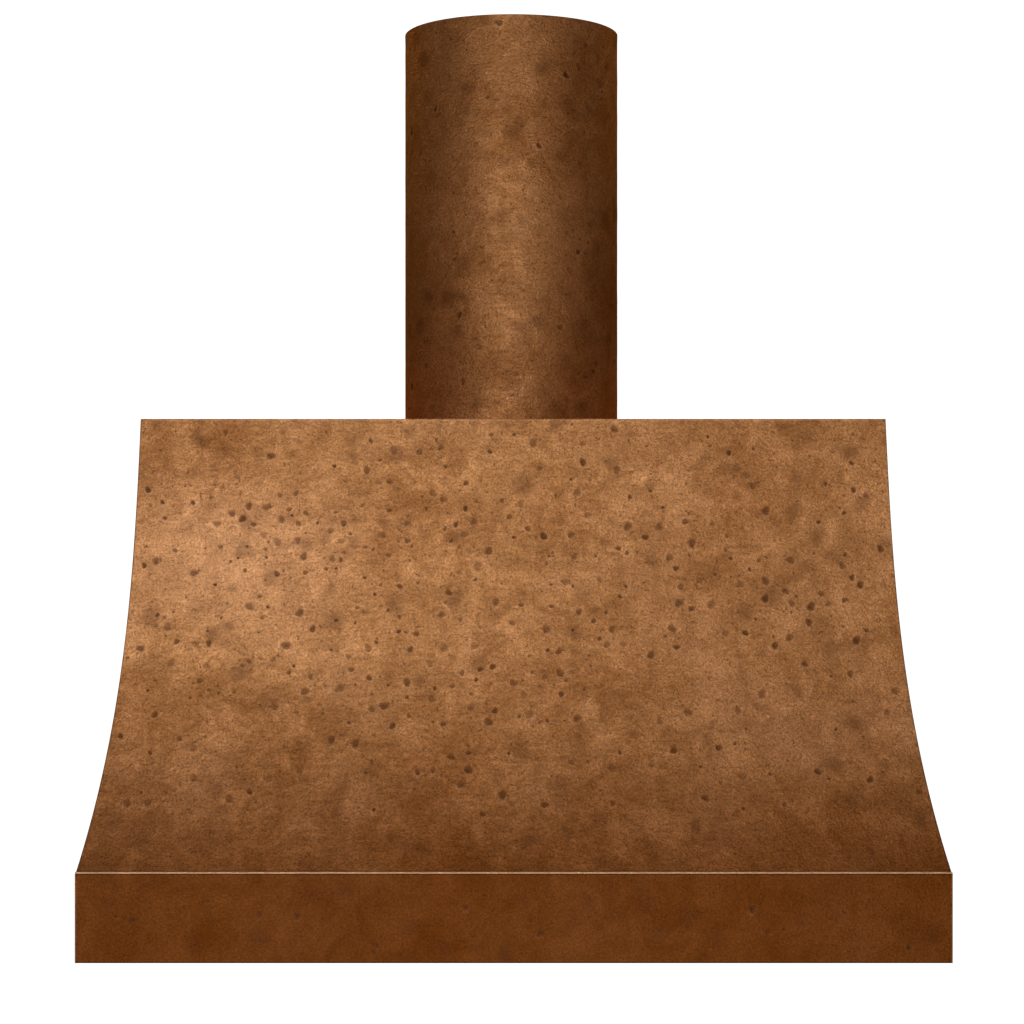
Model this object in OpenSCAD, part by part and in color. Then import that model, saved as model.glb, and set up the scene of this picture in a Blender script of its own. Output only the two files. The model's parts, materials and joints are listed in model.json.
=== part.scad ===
// Island range hood: a hammered copper canopy and round flue that hang from the ceiling.
// Origin: centre of the ceiling plate's top face. +Z up, front is -Y, left is -X.

/* [Overall] */
// Width of the apron band, side to side
hood_w = 1219; // [1100:1:1500]
// Depth of the apron band, front to back
hood_d = 762; // [700:1:960]
// Height of the apron band
band_h = 127; // [110:1:160]
// Height of the flared canopy above the band
body_h = 632; // [570:1:800]
// Height of the flue, from the canopy's top to the ceiling
flue_h = 606; // [300:1:900]
// Outside diameter of the flue
flue_d = 330; // [320:1:400]

/* [Copper shell] */
// Thickness of the copper sheet
copper_t = 1.6; // [1:0.1:2]
// How far the curved part of the flare leans in
flare_in = 53; // [30:1:60]
// How far the straight part of the flare leans in
taper_in = 24.8; // [10:0.1:30]
// How sharply the flare turns out at its foot
flare_pow = 2.864; // [2:0.001:3.5]
// Straight steps in the flare
flare_steps = 26; // [12:1:40]
// Width of each panel's flange under the top panel
panel_flange_w = 20; // [16:1:24]
// Height of each panel's flange behind the apron
foot_flange_h = 25; // [20:1:30]
// Width of the apron's bottom lip
lip_w = 25; // [22:1:30]
// Half width of the butt joint down the flue's back
seam_gap = 0.3; // [0.2:0.1:1]
// Width of the strip behind that joint
seam_strip_w = 44; // [40:1:50]
// Rivets in each row of the joint
seam_rivets = 9; // [5:1:12]
// Radius of a copper rivet's shank
rivet_r = 2; // [1.5:0.1:2.5]
// Radius of a copper rivet's head
rivet_head_r = 4; // [3:0.1:5]
// Radius of the flue opening in the top panel
flue_hole_r = 142; // [140:1:146]
// Radius of a shell screw's shank
screw_r = 2; // [1.5:0.1:2.5]
// Radius of a shell screw's head
screw_head_r = 3.8; // [3:0.1:4]

/* [Support frame] */
// Thickness of the ceiling plate
plate_t = 5; // [4:0.5:8]
// Gap between the ceiling plate's rim and the flue
plate_gap = 1; // [0.5:0.1:2]
// Pitch circle of the four ceiling bolts
ceiling_pcd = 276; // [270:1:280]
// Radius of a ceiling bolt hole
ceiling_hole_r = 5.5; // [4:0.5:7]
// Radius of the supply cable's hole in the ceiling plate
supply_hole_r = 11.1; // [8:0.1:12]
// Thickness of the steel angle
angle_t = 3; // [2:0.5:4]
// Leg of the steel angle in the top and base rings
angle_w = 25; // [22:1:30]
// Leg of the corner uprights
upright_w = 30; // [25:1:35]
// Gap between the shell and the top ring
ring_gap = 0.5; // [0.3:0.1:1]
// Radius of a hanger rod
rod_r = 5; // [4:0.5:6]
// Pitch circle of the four hanger rods
rod_pcd = 250; // [240:1:254]
// Thickness of a hanger nut
nut_h = 8; // [6:0.5:10]
// Radius of a hanger nut over its corners
nut_r = 9.2; // [8:0.1:10]
// Clearance of a rod in its hole
rod_gap = 0.25; // [0.1:0.05:0.5]

/* [Liner] */
// Thickness of the stainless sheet
liner_t = 1.5; // [1:0.1:2]
// Height of the pan's underside above the band's bottom
pan_rise = 90; // [80:1:95]
// Gap between the liner's flange and the apron
liner_gap = 1; // [0.5:0.1:2]
// Length of a filter, front to back
filter_l = 400; // [340:1:420]
// Width of a filter
filter_w = 340; // [283:1:360]
// Thickness of a filter
filter_t = 15; // [12:0.5:18]
// Gap between two filters
filter_gap = 10; // [9:1:20]
// Width of the rails of a filter's frame
filter_rail_w = 20; // [16:1:24]
// Width of the front rail, which carries the handle
front_rail_w = 30; // [24:1:50]
// Thickness of a filter frame's sheet
frame_t = 1.2; // [0.8:0.1:1.5]
// Baffles in a filter's lower layer
baffle_count = 7; // [5:1:9]
// Width of a baffle channel
baffle_w = 28; // [24:1:30]
// Radius of a filter's hinge pin
hinge_r = 3; // [2.5:0.1:3.5]
// Running clearance of pins, stems and shafts
run_gap = 0.05; // [0.02:0.01:0.1]
// Clearance round the filters
move_gap = 0.5; // [0.3:0.1:1]
// Gap between a closed filter and its magnets
magnet_gap = 0.3; // [0.2:0.1:0.5]
// Radius of a handle's rod
handle_r = 2; // [1.5:0.1:2.5]
// Half width of a handle
handle_x = 45; // [30:1:60]
// How far a handle hangs down
handle_drop = 34; // [25:1:45]
// Height of the hopper's straight foot
hopper_foot_h = 30; // [25:1:40]
// Height of the hopper up to the blower box
hopper_h = 150; // [120:1:170]
// Height of the blower box
box_h = 330; // [325:1:350]
// Width of the blower box
box_w = 500; // [480:1:520]

/* [Lamps and controls] */
// Distance of the lamps from the hood's middle, sideways
lamp_x = 400; // [300:1:440]
// Distance of the lamps from the hood's middle, front to back
lamp_y = 306; // [300:1:308]
// Radius of a lamp's trim ring
lamp_trim_r = 40; // [38:1:42]
// Radius of a lamp's can
lamp_can_r = 34; // [30:1:35]
// Height of a lamp's can above the pan
lamp_can_h = 45; // [30:1:60]
// Distance of each knob from the middle of the control plate
knob_x = 45; // [35:1:60]
// Radius of a knob
knob_r = 19; // [15:1:22]
// Height of a knob
knob_h = 20; // [15:1:24]
// Radius of a knob's stem
stem_r = 3; // [2.5:0.1:4]

/* [Blower and duct] */
// Radius of the impeller
impeller_r = 96; // [85:1:98]
// Width of the impeller
impeller_w = 130; // [110:1:135]
// Blades on the impeller
blades = 32; // [20:1:40]
// Width of the scroll housing
scroll_w = 150; // [145:1:170]
// Radius of the scroll at its cutoff
scroll_r0 = 104; // [102:1:106]
// Radius of the scroll where it turns up
scroll_r1 = 150; // [140:1:152]
// Height of the scroll's outlet above the impeller's axis
scroll_up = 150; // [148:1:160]
// Radius of the motor
motor_r = 55; // [45:1:58]
// Length of the motor
motor_l = 90; // [70:1:100]
// Radius of the motor's shaft
shaft_r = 6; // [5:0.5:7]
// Inside radius of the duct
duct_r = 101.3; // [84.4:0.1:103]
// Thickness of the duct's galvanised sheet
duct_t = 0.8; // [0.6:0.1:1.2]
// Height of the outlet collar
collar_h = 110; // [105:1:130]
// Height of the damper's pin above the collar's flange
damper_z = 40; // [30:1:45]
// Radius of the damper's pin
damper_pin_r = 2.5; // [2:0.1:3]

/* [Hidden] */
$fn = 96;
EPS = 0.01;

// Levels, from the ceiling down
z_body_top = -flue_h;
z_band_top = z_body_top - body_h;
z_base = z_band_top - band_h;
z_pan = z_base + pan_rise;
z_pan_top = z_pan + liner_t;
z_box = z_pan_top + hopper_h;
z_box_top = z_box + box_h;

// Half sizes
hw = hood_w / 2;
hd = hood_d / 2;
flue_r = flue_d / 2;
flue_in_r = flue_r - copper_t;

// Shell
function panel_inset(u) = copper_t + flare_in * (1 - pow(1 - u, flare_pow)) + taper_in * u;
top_inset = panel_inset(1);
panel_top = z_body_top - copper_t;
mitre_d = top_inset + panel_flange_w + 5;
strip_t = 1.5;
strip_gap = 0.02;
foot_ring_w = 23;
foot_ring_h = 26;
foot_screws = 6;
foot_screw_r = 151;
top_screw_inset = top_inset + 11;
screw_gap = 0.1;
screw_l = 9;
foot_screw_l = 5;
screw_head_h = 2.2;
sunk_head_h = 0.6 * copper_t;
edge_screws = 5;

// Frame
ring_inset = top_inset + copper_t + ring_gap;
ring_top = panel_top - copper_t;
base_inset = 2 * copper_t;
rod_hole_r = rod_r + rod_gap;
thread_gap = 0.02;
duct_out_r = duct_r + duct_t;
channel_top = ring_top - angle_t;
channel_w = 26;
channel_gap = 2.4;
rod_x = duct_out_r + channel_gap + channel_w / 2;
rod_y = sqrt(pow(rod_pcd / 2, 2) - pow(rod_x, 2));
channel_h = 25;
channel_y = hd - ring_inset - angle_t;
rod_bottom = channel_top - angle_t - nut_h - 6;
upright_x = hw - ring_inset - angle_t;
upright_y = hd - ring_inset - angle_t;
foot_plate_w = 40;
foot_bolt_r = 3;
rim_h = 25;
rim_t = 3;
duct_room = 3;
supply_angle = 55;
supply_reach = (duct_out_r + duct_room + flue_in_r - plate_gap - rim_t) / 2;

// Liner
pan_in_x = hw - lip_w - liner_t - 1;
pan_in_y = hd - lip_w - liner_t - 1;
pitch = filter_w + filter_gap;
tab_t = 5;
open_x = 1.5 * pitch + tab_t / 2 + move_gap;
open_y = filter_l / 2 + 3;
hopper_x = open_x + 16;
hopper_y = open_y + 25;
hopper_flange = 12;
hinge_y = filter_l / 2 - filter_t / 2;
frame_front = -(filter_l - filter_t / 2);
hinge_z = z_pan + 4;
catch_t = 3;
catch_w = 20;
pin_meet = 0.4;
magnet_r = 6;
magnet_h = 6;
magnet_x = 110;
magnet_z = hinge_z + filter_t / 2 + magnet_gap;
ledge_reach = 19;
lug_w = 5;
lug_h = 9;
handle_y = 15;
handle_z = -filter_t / 2 - 5;
handle_bend_r = 7;
baffle_h = 5;
baffle_t = 0.8;
baffle_pitch = (filter_w - 2 * filter_rail_w - baffle_w) / (baffle_count - 1);

// Lamps
lens_r = lamp_can_r - 3.2;
lens_t = 2;
trim_t = 4;
trim_lip = 1.2;

// Controls
plate_w = 180;
plate_d = 70;
control_t = 2;
control_y = -(open_y + pan_in_y) / 2 - 12;
switch_w = 40;
switch_h = 30;
stem_l = 18;
knob_gap = 1;
driver_size = [120, 40, 25];

// Blower
scroll_cut = 110;
scroll_turn = scroll_cut + 180;
scroll_steps = 40;
scroll_t = 1.2;
mouth_front = -scroll_r1;
mouth_back = scroll_r0 * cos(scroll_cut);
axis_y = -(mouth_front + mouth_back) / 2;
axis_z = z_box_top - liner_t - scroll_up;
inlet_r = impeller_r - 18;
hub_r = 14;
hub_l = 40;
blade_t = 1;
blade_l = 20;
blade_lean = 35;
disc_t = 2;
ring_t = 3;
motor_x = 100;
motor_back_x = motor_x + motor_l;
shaft_x0 = -hub_l / 2 - 4;
arm_w = 16;
arm_t = 2;
arm_r = impeller_r - 8;
box_half_y = hopper_y;

// Duct
collar_r = duct_r - 0.3;
collar_t = 1.2;
collar_z = z_box_top;
collar_flange_r = collar_r + 24;
pin_z = collar_z + damper_z;
bead_z = collar_z + 68;
bead_r = duct_out_r + 0.6;
bead_h = 3;
flap_r = collar_r - collar_t - 2;
flap_t = 1;
knuckle_r = damper_pin_r + run_gap + 1.4;
knuckle_l = 24;
seat_gap = 0.3;
stop_w = 8;
stop_t = 2;
swage_z = collar_z + collar_h + 2;
swage_h = 6;
swage_out = 2;
clamp_w = 12;
clamp_t = 1;
clamp_gap = 0.1;

// Electrical
jbox = [60, 110, 120];
jbox_z = z_box + 120;
gland_r = 10;
gland_bore_r = 6;
cap_r = 20;
cap_h = 70;

COPPER = "#8d5a32";
STEEL = "#5d6064";
STAINLESS = "#b9bcbf";
GALVANISED = "#a3a9ad";
BLACK = "#1e1e1f";
BRASS = "#b08d4a";

// ---- Shared shapes ----

// A flat-sided box between two corners.
module block(lo, hi) {
  translate(lo) cube(hi - lo);
}

// A round tube standing on z = 0.
module tube(outer_r, inner_r, h) {
  difference() {
    cylinder(r = outer_r, h = h);
    translate([0, 0, -1]) cylinder(r = inner_r, h = h + 2);
  }
}

// The same shape at each of the four corners given by x and y.
module at_corners(x, y) {
  for (sx = [-1, 1], sy = [-1, 1]) translate([sx * x, sy * y, 0]) children();
}

// Runs an [inset, z] outline along one side of the hood and mitres both ends at 45 degrees.
module mitred_run(run, off) {
  reach = run / 2 - mitre_d;
  intersection() {
    translate([0, -off, 0]) rotate([90, 0, 90]) linear_extrude(height = run + 2, center = true) children();
    translate([0, 0, z_base - 1]) linear_extrude(height = 1 - z_base)
      polygon([[-run / 2 - 1, -off - 1], [run / 2 + 1, -off - 1],
               [reach, mitre_d - off], [-reach, mitre_d - off]]);
  }
}

// Places a run on a side: 0 front, 90 right, 180 rear, 270 left.
module on_side(turn) {
  across = turn == 0 || turn == 180;
  rotate([0, 0, turn]) mitred_run(across ? hood_w : hood_d, across ? hd : hw) children();
}

// A rectangular ring between two insets from the hood's faces.
module inset_ring(outer, inner, z, h) {
  difference() {
    block([outer - hw, outer - hd, z], [hw - outer, hd - outer, z + h]);
    block([inner - hw, inner - hd, z - 1], [hw - inner, hd - inner, z + h + 1]);
  }
}

// A plate at one inset from the hood's faces.
module inset_plate(inset, z, h) {
  block([inset - hw, inset - hd, z], [hw - inset, hd - inset, z + h]);
}

// A pan-head screw, its head's underside at z = 0 and its shank down.
module pan_screw(r, head_r, l) {
  translate([0, 0, -l]) cylinder(r = r, h = l + EPS, $fn = 32);
  cylinder(r = head_r, h = screw_head_h, $fn = 32);
}

// A flat-head screw let into a plate, its head's top at z = 0.
module sunk_screw(r, head_r, l) {
  translate([0, 0, -l]) cylinder(r = r, h = l, $fn = 32);
  translate([0, 0, -sunk_head_h]) cylinder(r = head_r, h = sunk_head_h, $fn = 32);
}

// Where the screws stand round the top panel's edge.
module edge_screw_places() {
  for (i = [0 : edge_screws - 1]) {
    share = (i + 0.5) / edge_screws - 0.5;
    for (s = [-1, 1]) {
      translate([share * (hood_w - 2 * mitre_d), s * (hd - top_screw_inset), 0]) children();
    }
  }
  for (sx = [-1, 1], sy = [-1, 1])
    translate([sx * (hw - top_screw_inset), sy * hd / 3, 0]) children();
}

module foot_screw_places() {
  for (i = [0 : foot_screws - 1]) rotate([0, 0, (i + 0.5) * 360 / foot_screws])
    translate([foot_screw_r, 0, 0]) children();
}

// ---- Copper shell ----

module flue_tube() {
  color(COPPER) difference() {
    translate([0, 0, z_body_top]) tube(flue_r, flue_in_r, flue_h);
    block([-seam_gap, flue_in_r - 5, z_body_top - 1], [seam_gap, flue_r + 5, 1]);
    rivet_places() rivet_hole();
  }
}

// Rivets run up the flue's back in two rows, one each side of its joint.
module rivet_places() {
  rise = flue_h / seam_rivets;
  for (i = [0 : seam_rivets - 1], s = [-1, 1])
    translate([0, 0, z_body_top + (i + 0.5) * rise]) rotate([0, 0, s * 4]) rotate([-90, 0, 0])
      translate([0, 0, flue_r]) children();
}

module rivet_hole() {
  translate([0, 0, -12]) cylinder(r = rivet_r + screw_gap, h = 20, $fn = 24);
}

module flue_seam_strip() {
  half = asin(seam_strip_w / 2 / flue_in_r);
  color(COPPER) difference() {
    translate([0, 0, z_body_top + foot_ring_h + 2]) rotate([0, 0, 90 - half])
      rotate_extrude(angle = 2 * half)
        translate([flue_in_r - strip_gap - strip_t, 0]) square([strip_t, flue_h - foot_ring_h - rim_h - 14]);
    rivet_places() rivet_hole();
  }
}

module flue_rivets() {
  color(COPPER) rivet_places() {
    translate([0, 0, -copper_t - strip_t - 1]) cylinder(r = rivet_r, h = copper_t + strip_t + 1.2, $fn = 24);
    cylinder(r1 = rivet_head_r, r2 = rivet_head_r * 0.55, h = 1.4, $fn = 24);
  }
}

module flue_foot_ring() {
  color(COPPER) difference() {
    translate([0, 0, z_body_top]) rotate_extrude() polygon([
      [flue_in_r - foot_ring_w, 0], [flue_in_r, 0], [flue_in_r, foot_ring_h],
      [flue_in_r - strip_t, foot_ring_h], [flue_in_r - strip_t, strip_t],
      [flue_in_r - foot_ring_w, strip_t]]);
    translate([0, 0, z_body_top - 1]) foot_screw_places() cylinder(r = screw_r + screw_gap, h = 6, $fn = 32);
  }
}

module top_panel() {
  color(COPPER) difference() {
    inset_plate(top_inset, panel_top, copper_t);
    translate([0, 0, panel_top - 1]) cylinder(r = flue_hole_r, h = 5);
    translate([0, 0, panel_top - 1]) edge_screw_places() cylinder(r = screw_r + screw_gap, h = 5, $fn = 32);
    translate([0, 0, z_body_top - sunk_head_h]) edge_screw_places()
      cylinder(r = screw_head_r + screw_gap, h = 5, $fn = 32);
    translate([0, 0, panel_top - 1]) foot_screw_places() cylinder(r = screw_r + screw_gap, h = 5, $fn = 32);
  }
}

// The flare's outline: a straight foot behind the apron, the flare, and a flange at the top.
module panel_outline() {
  rise = (panel_top - z_band_top) / flare_steps;
  polygon(concat(
    [[copper_t, z_band_top - foot_flange_h]],
    [for (i = [0 : flare_steps]) [panel_inset(i / flare_steps), z_band_top + i * rise]],
    [[top_inset + panel_flange_w, panel_top], [top_inset + panel_flange_w, panel_top - copper_t],
     [top_inset + copper_t, panel_top - copper_t]],
    [for (i = [flare_steps - 1 : -1 : 0]) [panel_inset(i / flare_steps) + copper_t, z_band_top + i * rise]],
    [[2 * copper_t, z_band_top - foot_flange_h]]));
}

module panel(turn) {
  color(COPPER) difference() {
    on_side(turn) panel_outline();
    translate([0, 0, panel_top - 4]) edge_screw_places() cylinder(r = screw_r + screw_gap, h = 5, $fn = 32);
  }
}

module front_panel() { panel(0); }
module right_panel() { panel(90); }
module rear_panel() { panel(180); }
module left_panel() { panel(270); }

// The apron's outline: a rounded top edge, a straight face and a lip turned in at the bottom.
module apron_outline() {
  r = copper_t;
  polygon(concat(
    [for (a = [180 : -15 : 90]) [r + r * cos(a), z_band_top - r + r * sin(a)]],
    [[r, z_base + copper_t], [lip_w, z_base + copper_t], [lip_w, z_base], [0, z_base]]));
}

module apron(turn) {
  color(COPPER) on_side(turn) apron_outline();
}

module apron_front() { apron(0); }
module apron_right() { apron(90); }
module apron_rear() { apron(180); }
module apron_left() { apron(270); }

module shell_screws() {
  color(COPPER) {
    translate([0, 0, z_body_top]) edge_screw_places() sunk_screw(screw_r, screw_head_r, screw_l);
    translate([0, 0, z_body_top + strip_t]) foot_screw_places()
      pan_screw(screw_r, screw_head_r, foot_screw_l);
  }
}

// ---- Support frame ----

module rod_places() {
  at_corners(rod_x, rod_y) children();
}

// A flat ring with a rim that the flue slides up over.
module ceiling_plate() {
  outer_r = flue_in_r - plate_gap;
  color(STEEL) difference() {
    translate([0, 0, -rim_h]) rotate_extrude() polygon([
      [duct_out_r + duct_room, rim_h - plate_t], [outer_r - rim_t, rim_h - plate_t], [outer_r - rim_t, 0],
      [outer_r, 0], [outer_r, rim_h], [duct_out_r + duct_room, rim_h]]);
    translate([0, 0, -plate_t - 1]) rod_places() cylinder(r = rod_hole_r, h = plate_t);
    for (a = [0 : 90 : 270]) rotate([0, 0, a]) translate([ceiling_pcd / 2, 0, -plate_t - 1])
      cylinder(r = ceiling_hole_r, h = plate_t + 2);
    rotate([0, 0, supply_angle]) translate([supply_reach, 0, -plate_t - 1])
      cylinder(r = supply_hole_r, h = plate_t + 2);
  }
}

module hanger_rods() {
  color(STEEL) translate([0, 0, rod_bottom]) rod_places() cylinder(r = rod_r, h = -2 - rod_bottom);
}

// Three nuts on each rod: under the ceiling plate, and above and below its channel.
module hanger_nuts() {
  color(STEEL) for (z = [-plate_t - nut_h, channel_top, channel_top - angle_t - nut_h])
    translate([0, 0, z]) rod_places() difference() {
      cylinder(r = nut_r, h = nut_h, $fn = 6);
      translate([0, 0, -1]) cylinder(r = rod_r + thread_gap, h = nut_h + 2);
    }
}

module top_ring() {
  color(STEEL) difference() {
    union() {
      inset_ring(ring_inset, ring_inset + angle_w, ring_top - angle_t, angle_t);
      inset_ring(ring_inset, ring_inset + angle_t, ring_top - angle_w, angle_w);
    }
    translate([0, 0, ring_top - 6]) edge_screw_places() cylinder(r = screw_r + screw_gap, h = 8, $fn = 32);
  }
}

module base_ring() {
  bottom = z_band_top - foot_flange_h;
  color(STEEL) union() {
    inset_ring(base_inset, base_inset + angle_w, bottom, angle_t);
    inset_ring(base_inset, base_inset + angle_t, bottom, foot_flange_h);
  }
}

// Two channels span the top ring front to back, open side down, and take two rods each.
module cross_channels() {
  half = channel_w / 2;
  color(STEEL) for (side = [-1, 1]) translate([side * rod_x, 0, channel_top]) difference() {
    block([-half, -channel_y, -channel_h], [half, channel_y, 0]);
    block([angle_t - half, -channel_y - 1, -channel_h - 1], [half - angle_t, channel_y + 1, -angle_t]);
    for (y = [-rod_y, rod_y]) translate([0, y, -10]) cylinder(r = rod_hole_r, h = 12);
  }
}

// Each upright is an angle with a foot plate, bolted down through the pan.
module corner_uprights() {
  color(STEEL) for (sx = [0, 1], sy = [0, 1]) mirror([sx, 0, 0]) mirror([0, sy, 0]) difference() {
    union() {
      block([upright_x - upright_w, upright_y - angle_t, z_pan_top], [upright_x, upright_y, channel_top]);
      block([upright_x - angle_t, upright_y - upright_w, z_pan_top], [upright_x, upright_y, channel_top]);
      block([upright_x - foot_plate_w, upright_y - foot_plate_w, z_pan_top],
            [upright_x, upright_y, z_pan_top + angle_t]);
    }
    translate([upright_x - foot_plate_w / 2, upright_y - foot_plate_w / 2, z_pan_top - 1])
      cylinder(r = foot_bolt_r + screw_gap, h = 8, $fn = 32);
  }
}

module foot_bolts() {
  color(STEEL) translate([0, 0, z_pan])
    at_corners(upright_x - foot_plate_w / 2, upright_y - foot_plate_w / 2)
      mirror([0, 0, 1]) pan_screw(foot_bolt_r, foot_bolt_r * 1.9, 14);
}

// ---- Liner ----

// A stainless tray, open below, whose flange lies on the apron's lip.
module liner_pan() {
  z0 = z_base + copper_t;
  flange = copper_t + liner_gap;
  color(STAINLESS) difference() {
    union() {
      block([flange - hw, flange - hd, z0], [hw - flange, hd - flange, z0 + liner_t]);
      block([-pan_in_x - liner_t, -pan_in_y - liner_t, z0],
            [pan_in_x + liner_t, pan_in_y + liner_t, z_pan_top]);
    }
    block([-pan_in_x, -pan_in_y, z0 - 1], [pan_in_x, pan_in_y, z_pan]);
    block([-open_x, -open_y, z_pan - 1], [open_x, open_y, z_pan_top + 1]);
    translate([0, 0, z_pan - 1]) at_corners(lamp_x, lamp_y) cylinder(r = lamp_can_r + 0.3, h = 4);
    translate([0, 0, z_pan - 1]) at_corners(upright_x - foot_plate_w / 2, upright_y - foot_plate_w / 2)
      cylinder(r = foot_bolt_r + screw_gap, h = 4, $fn = 32);
    block([-knob_x - switch_w / 2 - 4, control_y - switch_w / 2 - 4, z_pan - 1],
          [knob_x + switch_w / 2 + 4, control_y + switch_w / 2 + 4, z_pan_top + 1]);
  }
}

// The hopper's outline across the hood: an upright foot, then sides that slope in.
function hopper_points(t) = [
  [-hopper_x + t, z_pan_top], [-hopper_x + t, z_pan_top + hopper_foot_h], [-box_w / 2 + t, z_box],
  [box_w / 2 - t, z_box], [hopper_x - t, z_pan_top + hopper_foot_h], [hopper_x - t, z_pan_top]];

module hopper_block(t, y) {
  rotate([90, 0, 0]) linear_extrude(height = 2 * y, center = true) polygon(hopper_points(t));
}

module hopper() {
  color(STAINLESS) difference() {
    union() {
      hopper_block(0, hopper_y);
      block([-hopper_x - hopper_flange, -hopper_y - hopper_flange, z_pan_top],
            [hopper_x + hopper_flange, hopper_y + hopper_flange, z_pan_top + liner_t]);
    }
    hopper_block(liner_t, hopper_y - liner_t);
    block([-hopper_x + liner_t, -hopper_y + liner_t, z_pan_top - 1],
          [hopper_x - liner_t, hopper_y - liner_t, z_pan_top + 1]);
    block([-box_w / 2 + liner_t, -hopper_y + liner_t, z_box - 4],
          [box_w / 2 - liner_t, hopper_y - liner_t, z_box + 1]);
  }
}

module blower_box() {
  x = box_w / 2;
  color(STAINLESS) difference() {
    block([-x, -box_half_y, z_box], [x, box_half_y, z_box_top]);
    block([-x + liner_t, -box_half_y + liner_t, z_box - 1],
          [x - liner_t, box_half_y - liner_t, z_box_top - liner_t]);
    block([-scroll_w / 2 + scroll_t, axis_y + mouth_front + scroll_t, z_box_top - 5],
          [scroll_w / 2 - scroll_t, axis_y + mouth_back - scroll_t, z_box_top + 1]);
  }
}

// An angle along the front of the opening, its ledge above the filters' front edges.
module magnet_rail() {
  ledge_z = magnet_z + magnet_h;
  color(STAINLESS) union() {
    block([-open_x, -open_y - catch_w, z_pan_top], [open_x, -open_y, z_pan_top + catch_t]);
    block([-open_x, -open_y - catch_t, z_pan_top], [open_x, -open_y, ledge_z + catch_t]);
    block([-open_x, -open_y - catch_t, ledge_z], [open_x, -open_y + ledge_reach, ledge_z + catch_t]);
  }
}

// Two magnets above each filter's front edge hold it shut.
module filter_magnets() {
  color("#6f7276") for (i = [-1 : 1], s = [-1, 1])
    translate([i * pitch + s * magnet_x, -open_y + ledge_reach - magnet_r - 2, magnet_z])
      cylinder(r = magnet_r, h = magnet_h, $fn = 48);
}

// A strip along the back of the opening with a drilled tab beside each filter's hinge pins.
module hinge_rail() {
  color(STAINLESS) difference() {
    union() {
      block([-open_x, open_y, z_pan_top], [open_x, open_y + catch_w, z_pan_top + catch_t]);
      for (i = [0 : 3]) translate([(i - 1.5) * pitch, 0, 0])
        block([-tab_t / 2, hinge_y - 8, hinge_z - 8], [tab_t / 2, open_y - move_gap, z_pan_top + 16]);
      for (i = [0 : 3]) translate([(i - 1.5) * pitch, 0, 0])
        block([-tab_t / 2, hinge_y - 8, z_pan_top + catch_t], [tab_t / 2, open_y + catch_w, z_pan_top + 16]);
    }
    translate([0, hinge_y, hinge_z]) rotate([0, 90, 0])
      cylinder(r = hinge_r + run_gap, h = 2 * open_x + 20, center = true);
  }
}

module at_filter(i) {
  translate([i * pitch, hinge_y, hinge_z]) children();
}

// A frame of folded channel with a round rear edge, a hinge pin at each end of it and two handle lugs.
module filter_frame(i) {
  x = filter_w / 2;
  half = filter_t / 2;
  pin_l = filter_w + filter_gap - 2 * pin_meet;
  color(STAINLESS) at_filter(i) difference() {
    union() {
      difference() {
        union() {
          block([-x, frame_front, -half], [x, 0, half]);
          rotate([0, 90, 0]) cylinder(r = half, h = filter_w, center = true);
        }
        block([-x + frame_t, frame_front + frame_t, -half + frame_t],
              [x - frame_t, -frame_t, half - frame_t]);
        block([-x + filter_rail_w, frame_front + front_rail_w, -half - 1],
              [x - filter_rail_w, -filter_rail_w / 2, half + 1]);
      }
      rotate([0, 90, 0]) cylinder(r = hinge_r, h = pin_l, center = true);
      for (s = [-1, 1]) translate([s * handle_x, frame_front + handle_y, 0])
        block([-lug_w / 2, -5, -half - lug_h], [lug_w / 2, 5, -half + frame_t / 2]);
    }
    translate([0, frame_front + handle_y, handle_z]) rotate([0, 90, 0])
      cylinder(r = handle_r + run_gap, h = 3 * handle_x, center = true, $fn = 48);
  }
}

// A baffle's section: a channel with its walls up.
module baffle_section() {
  difference() {
    translate([-baffle_w / 2, 0]) square([baffle_w, baffle_h]);
    translate([-baffle_w / 2 + baffle_t, baffle_t]) square([baffle_w - 2 * baffle_t, baffle_h]);
  }
}

// Two layers of channels, the upper ones turned over above the gaps between the lower.
module filter_baffles(i) {
  back = -frame_t - hinge_r - 3;
  length = back - frame_front - frame_t;
  seat = filter_t / 2 - frame_t;
  color(STAINLESS) at_filter(i) {
    for (k = [0 : baffle_count - 1])
      translate([(k - (baffle_count - 1) / 2) * baffle_pitch, back, -seat])
        rotate([90, 0, 0]) linear_extrude(height = length) baffle_section();
    for (k = [0 : baffle_count - 2])
      translate([(k - (baffle_count - 2) / 2) * baffle_pitch, back, seat])
        rotate([90, 0, 0]) linear_extrude(height = length) mirror([0, 1]) baffle_section();
  }
}

// A bail that hangs from the frame's lugs: two arms, a cross bar and round bends between them.
module filter_handle(i) {
  arm_x = handle_x + lug_w / 2 + move_gap + handle_r;
  bend_z = handle_bend_r - handle_drop;
  color(STAINLESS) at_filter(i) translate([0, frame_front + handle_y, handle_z]) union() {
    for (m = [0, 1]) mirror([m, 0, 0]) {
      translate([arm_x, 0, 0]) sphere(r = handle_r, $fn = 48);
      translate([handle_x - lug_w / 2 - 2, 0, 0]) rotate([0, 90, 0])
        cylinder(r = handle_r, h = arm_x - handle_x + lug_w / 2 + 2, $fn = 48);
      translate([arm_x, 0, bend_z]) cylinder(r = handle_r, h = -bend_z, $fn = 48);
      translate([arm_x - handle_bend_r, 0, bend_z]) rotate([-90, 0, 0])
        rotate_extrude(angle = 90) translate([handle_bend_r, 0]) circle(r = handle_r, $fn = 48);
    }
    translate([0, 0, -handle_drop]) rotate([0, 90, 0])
      cylinder(r = handle_r, h = 2 * (arm_x - handle_bend_r), center = true, $fn = 48);
  }
}

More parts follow.
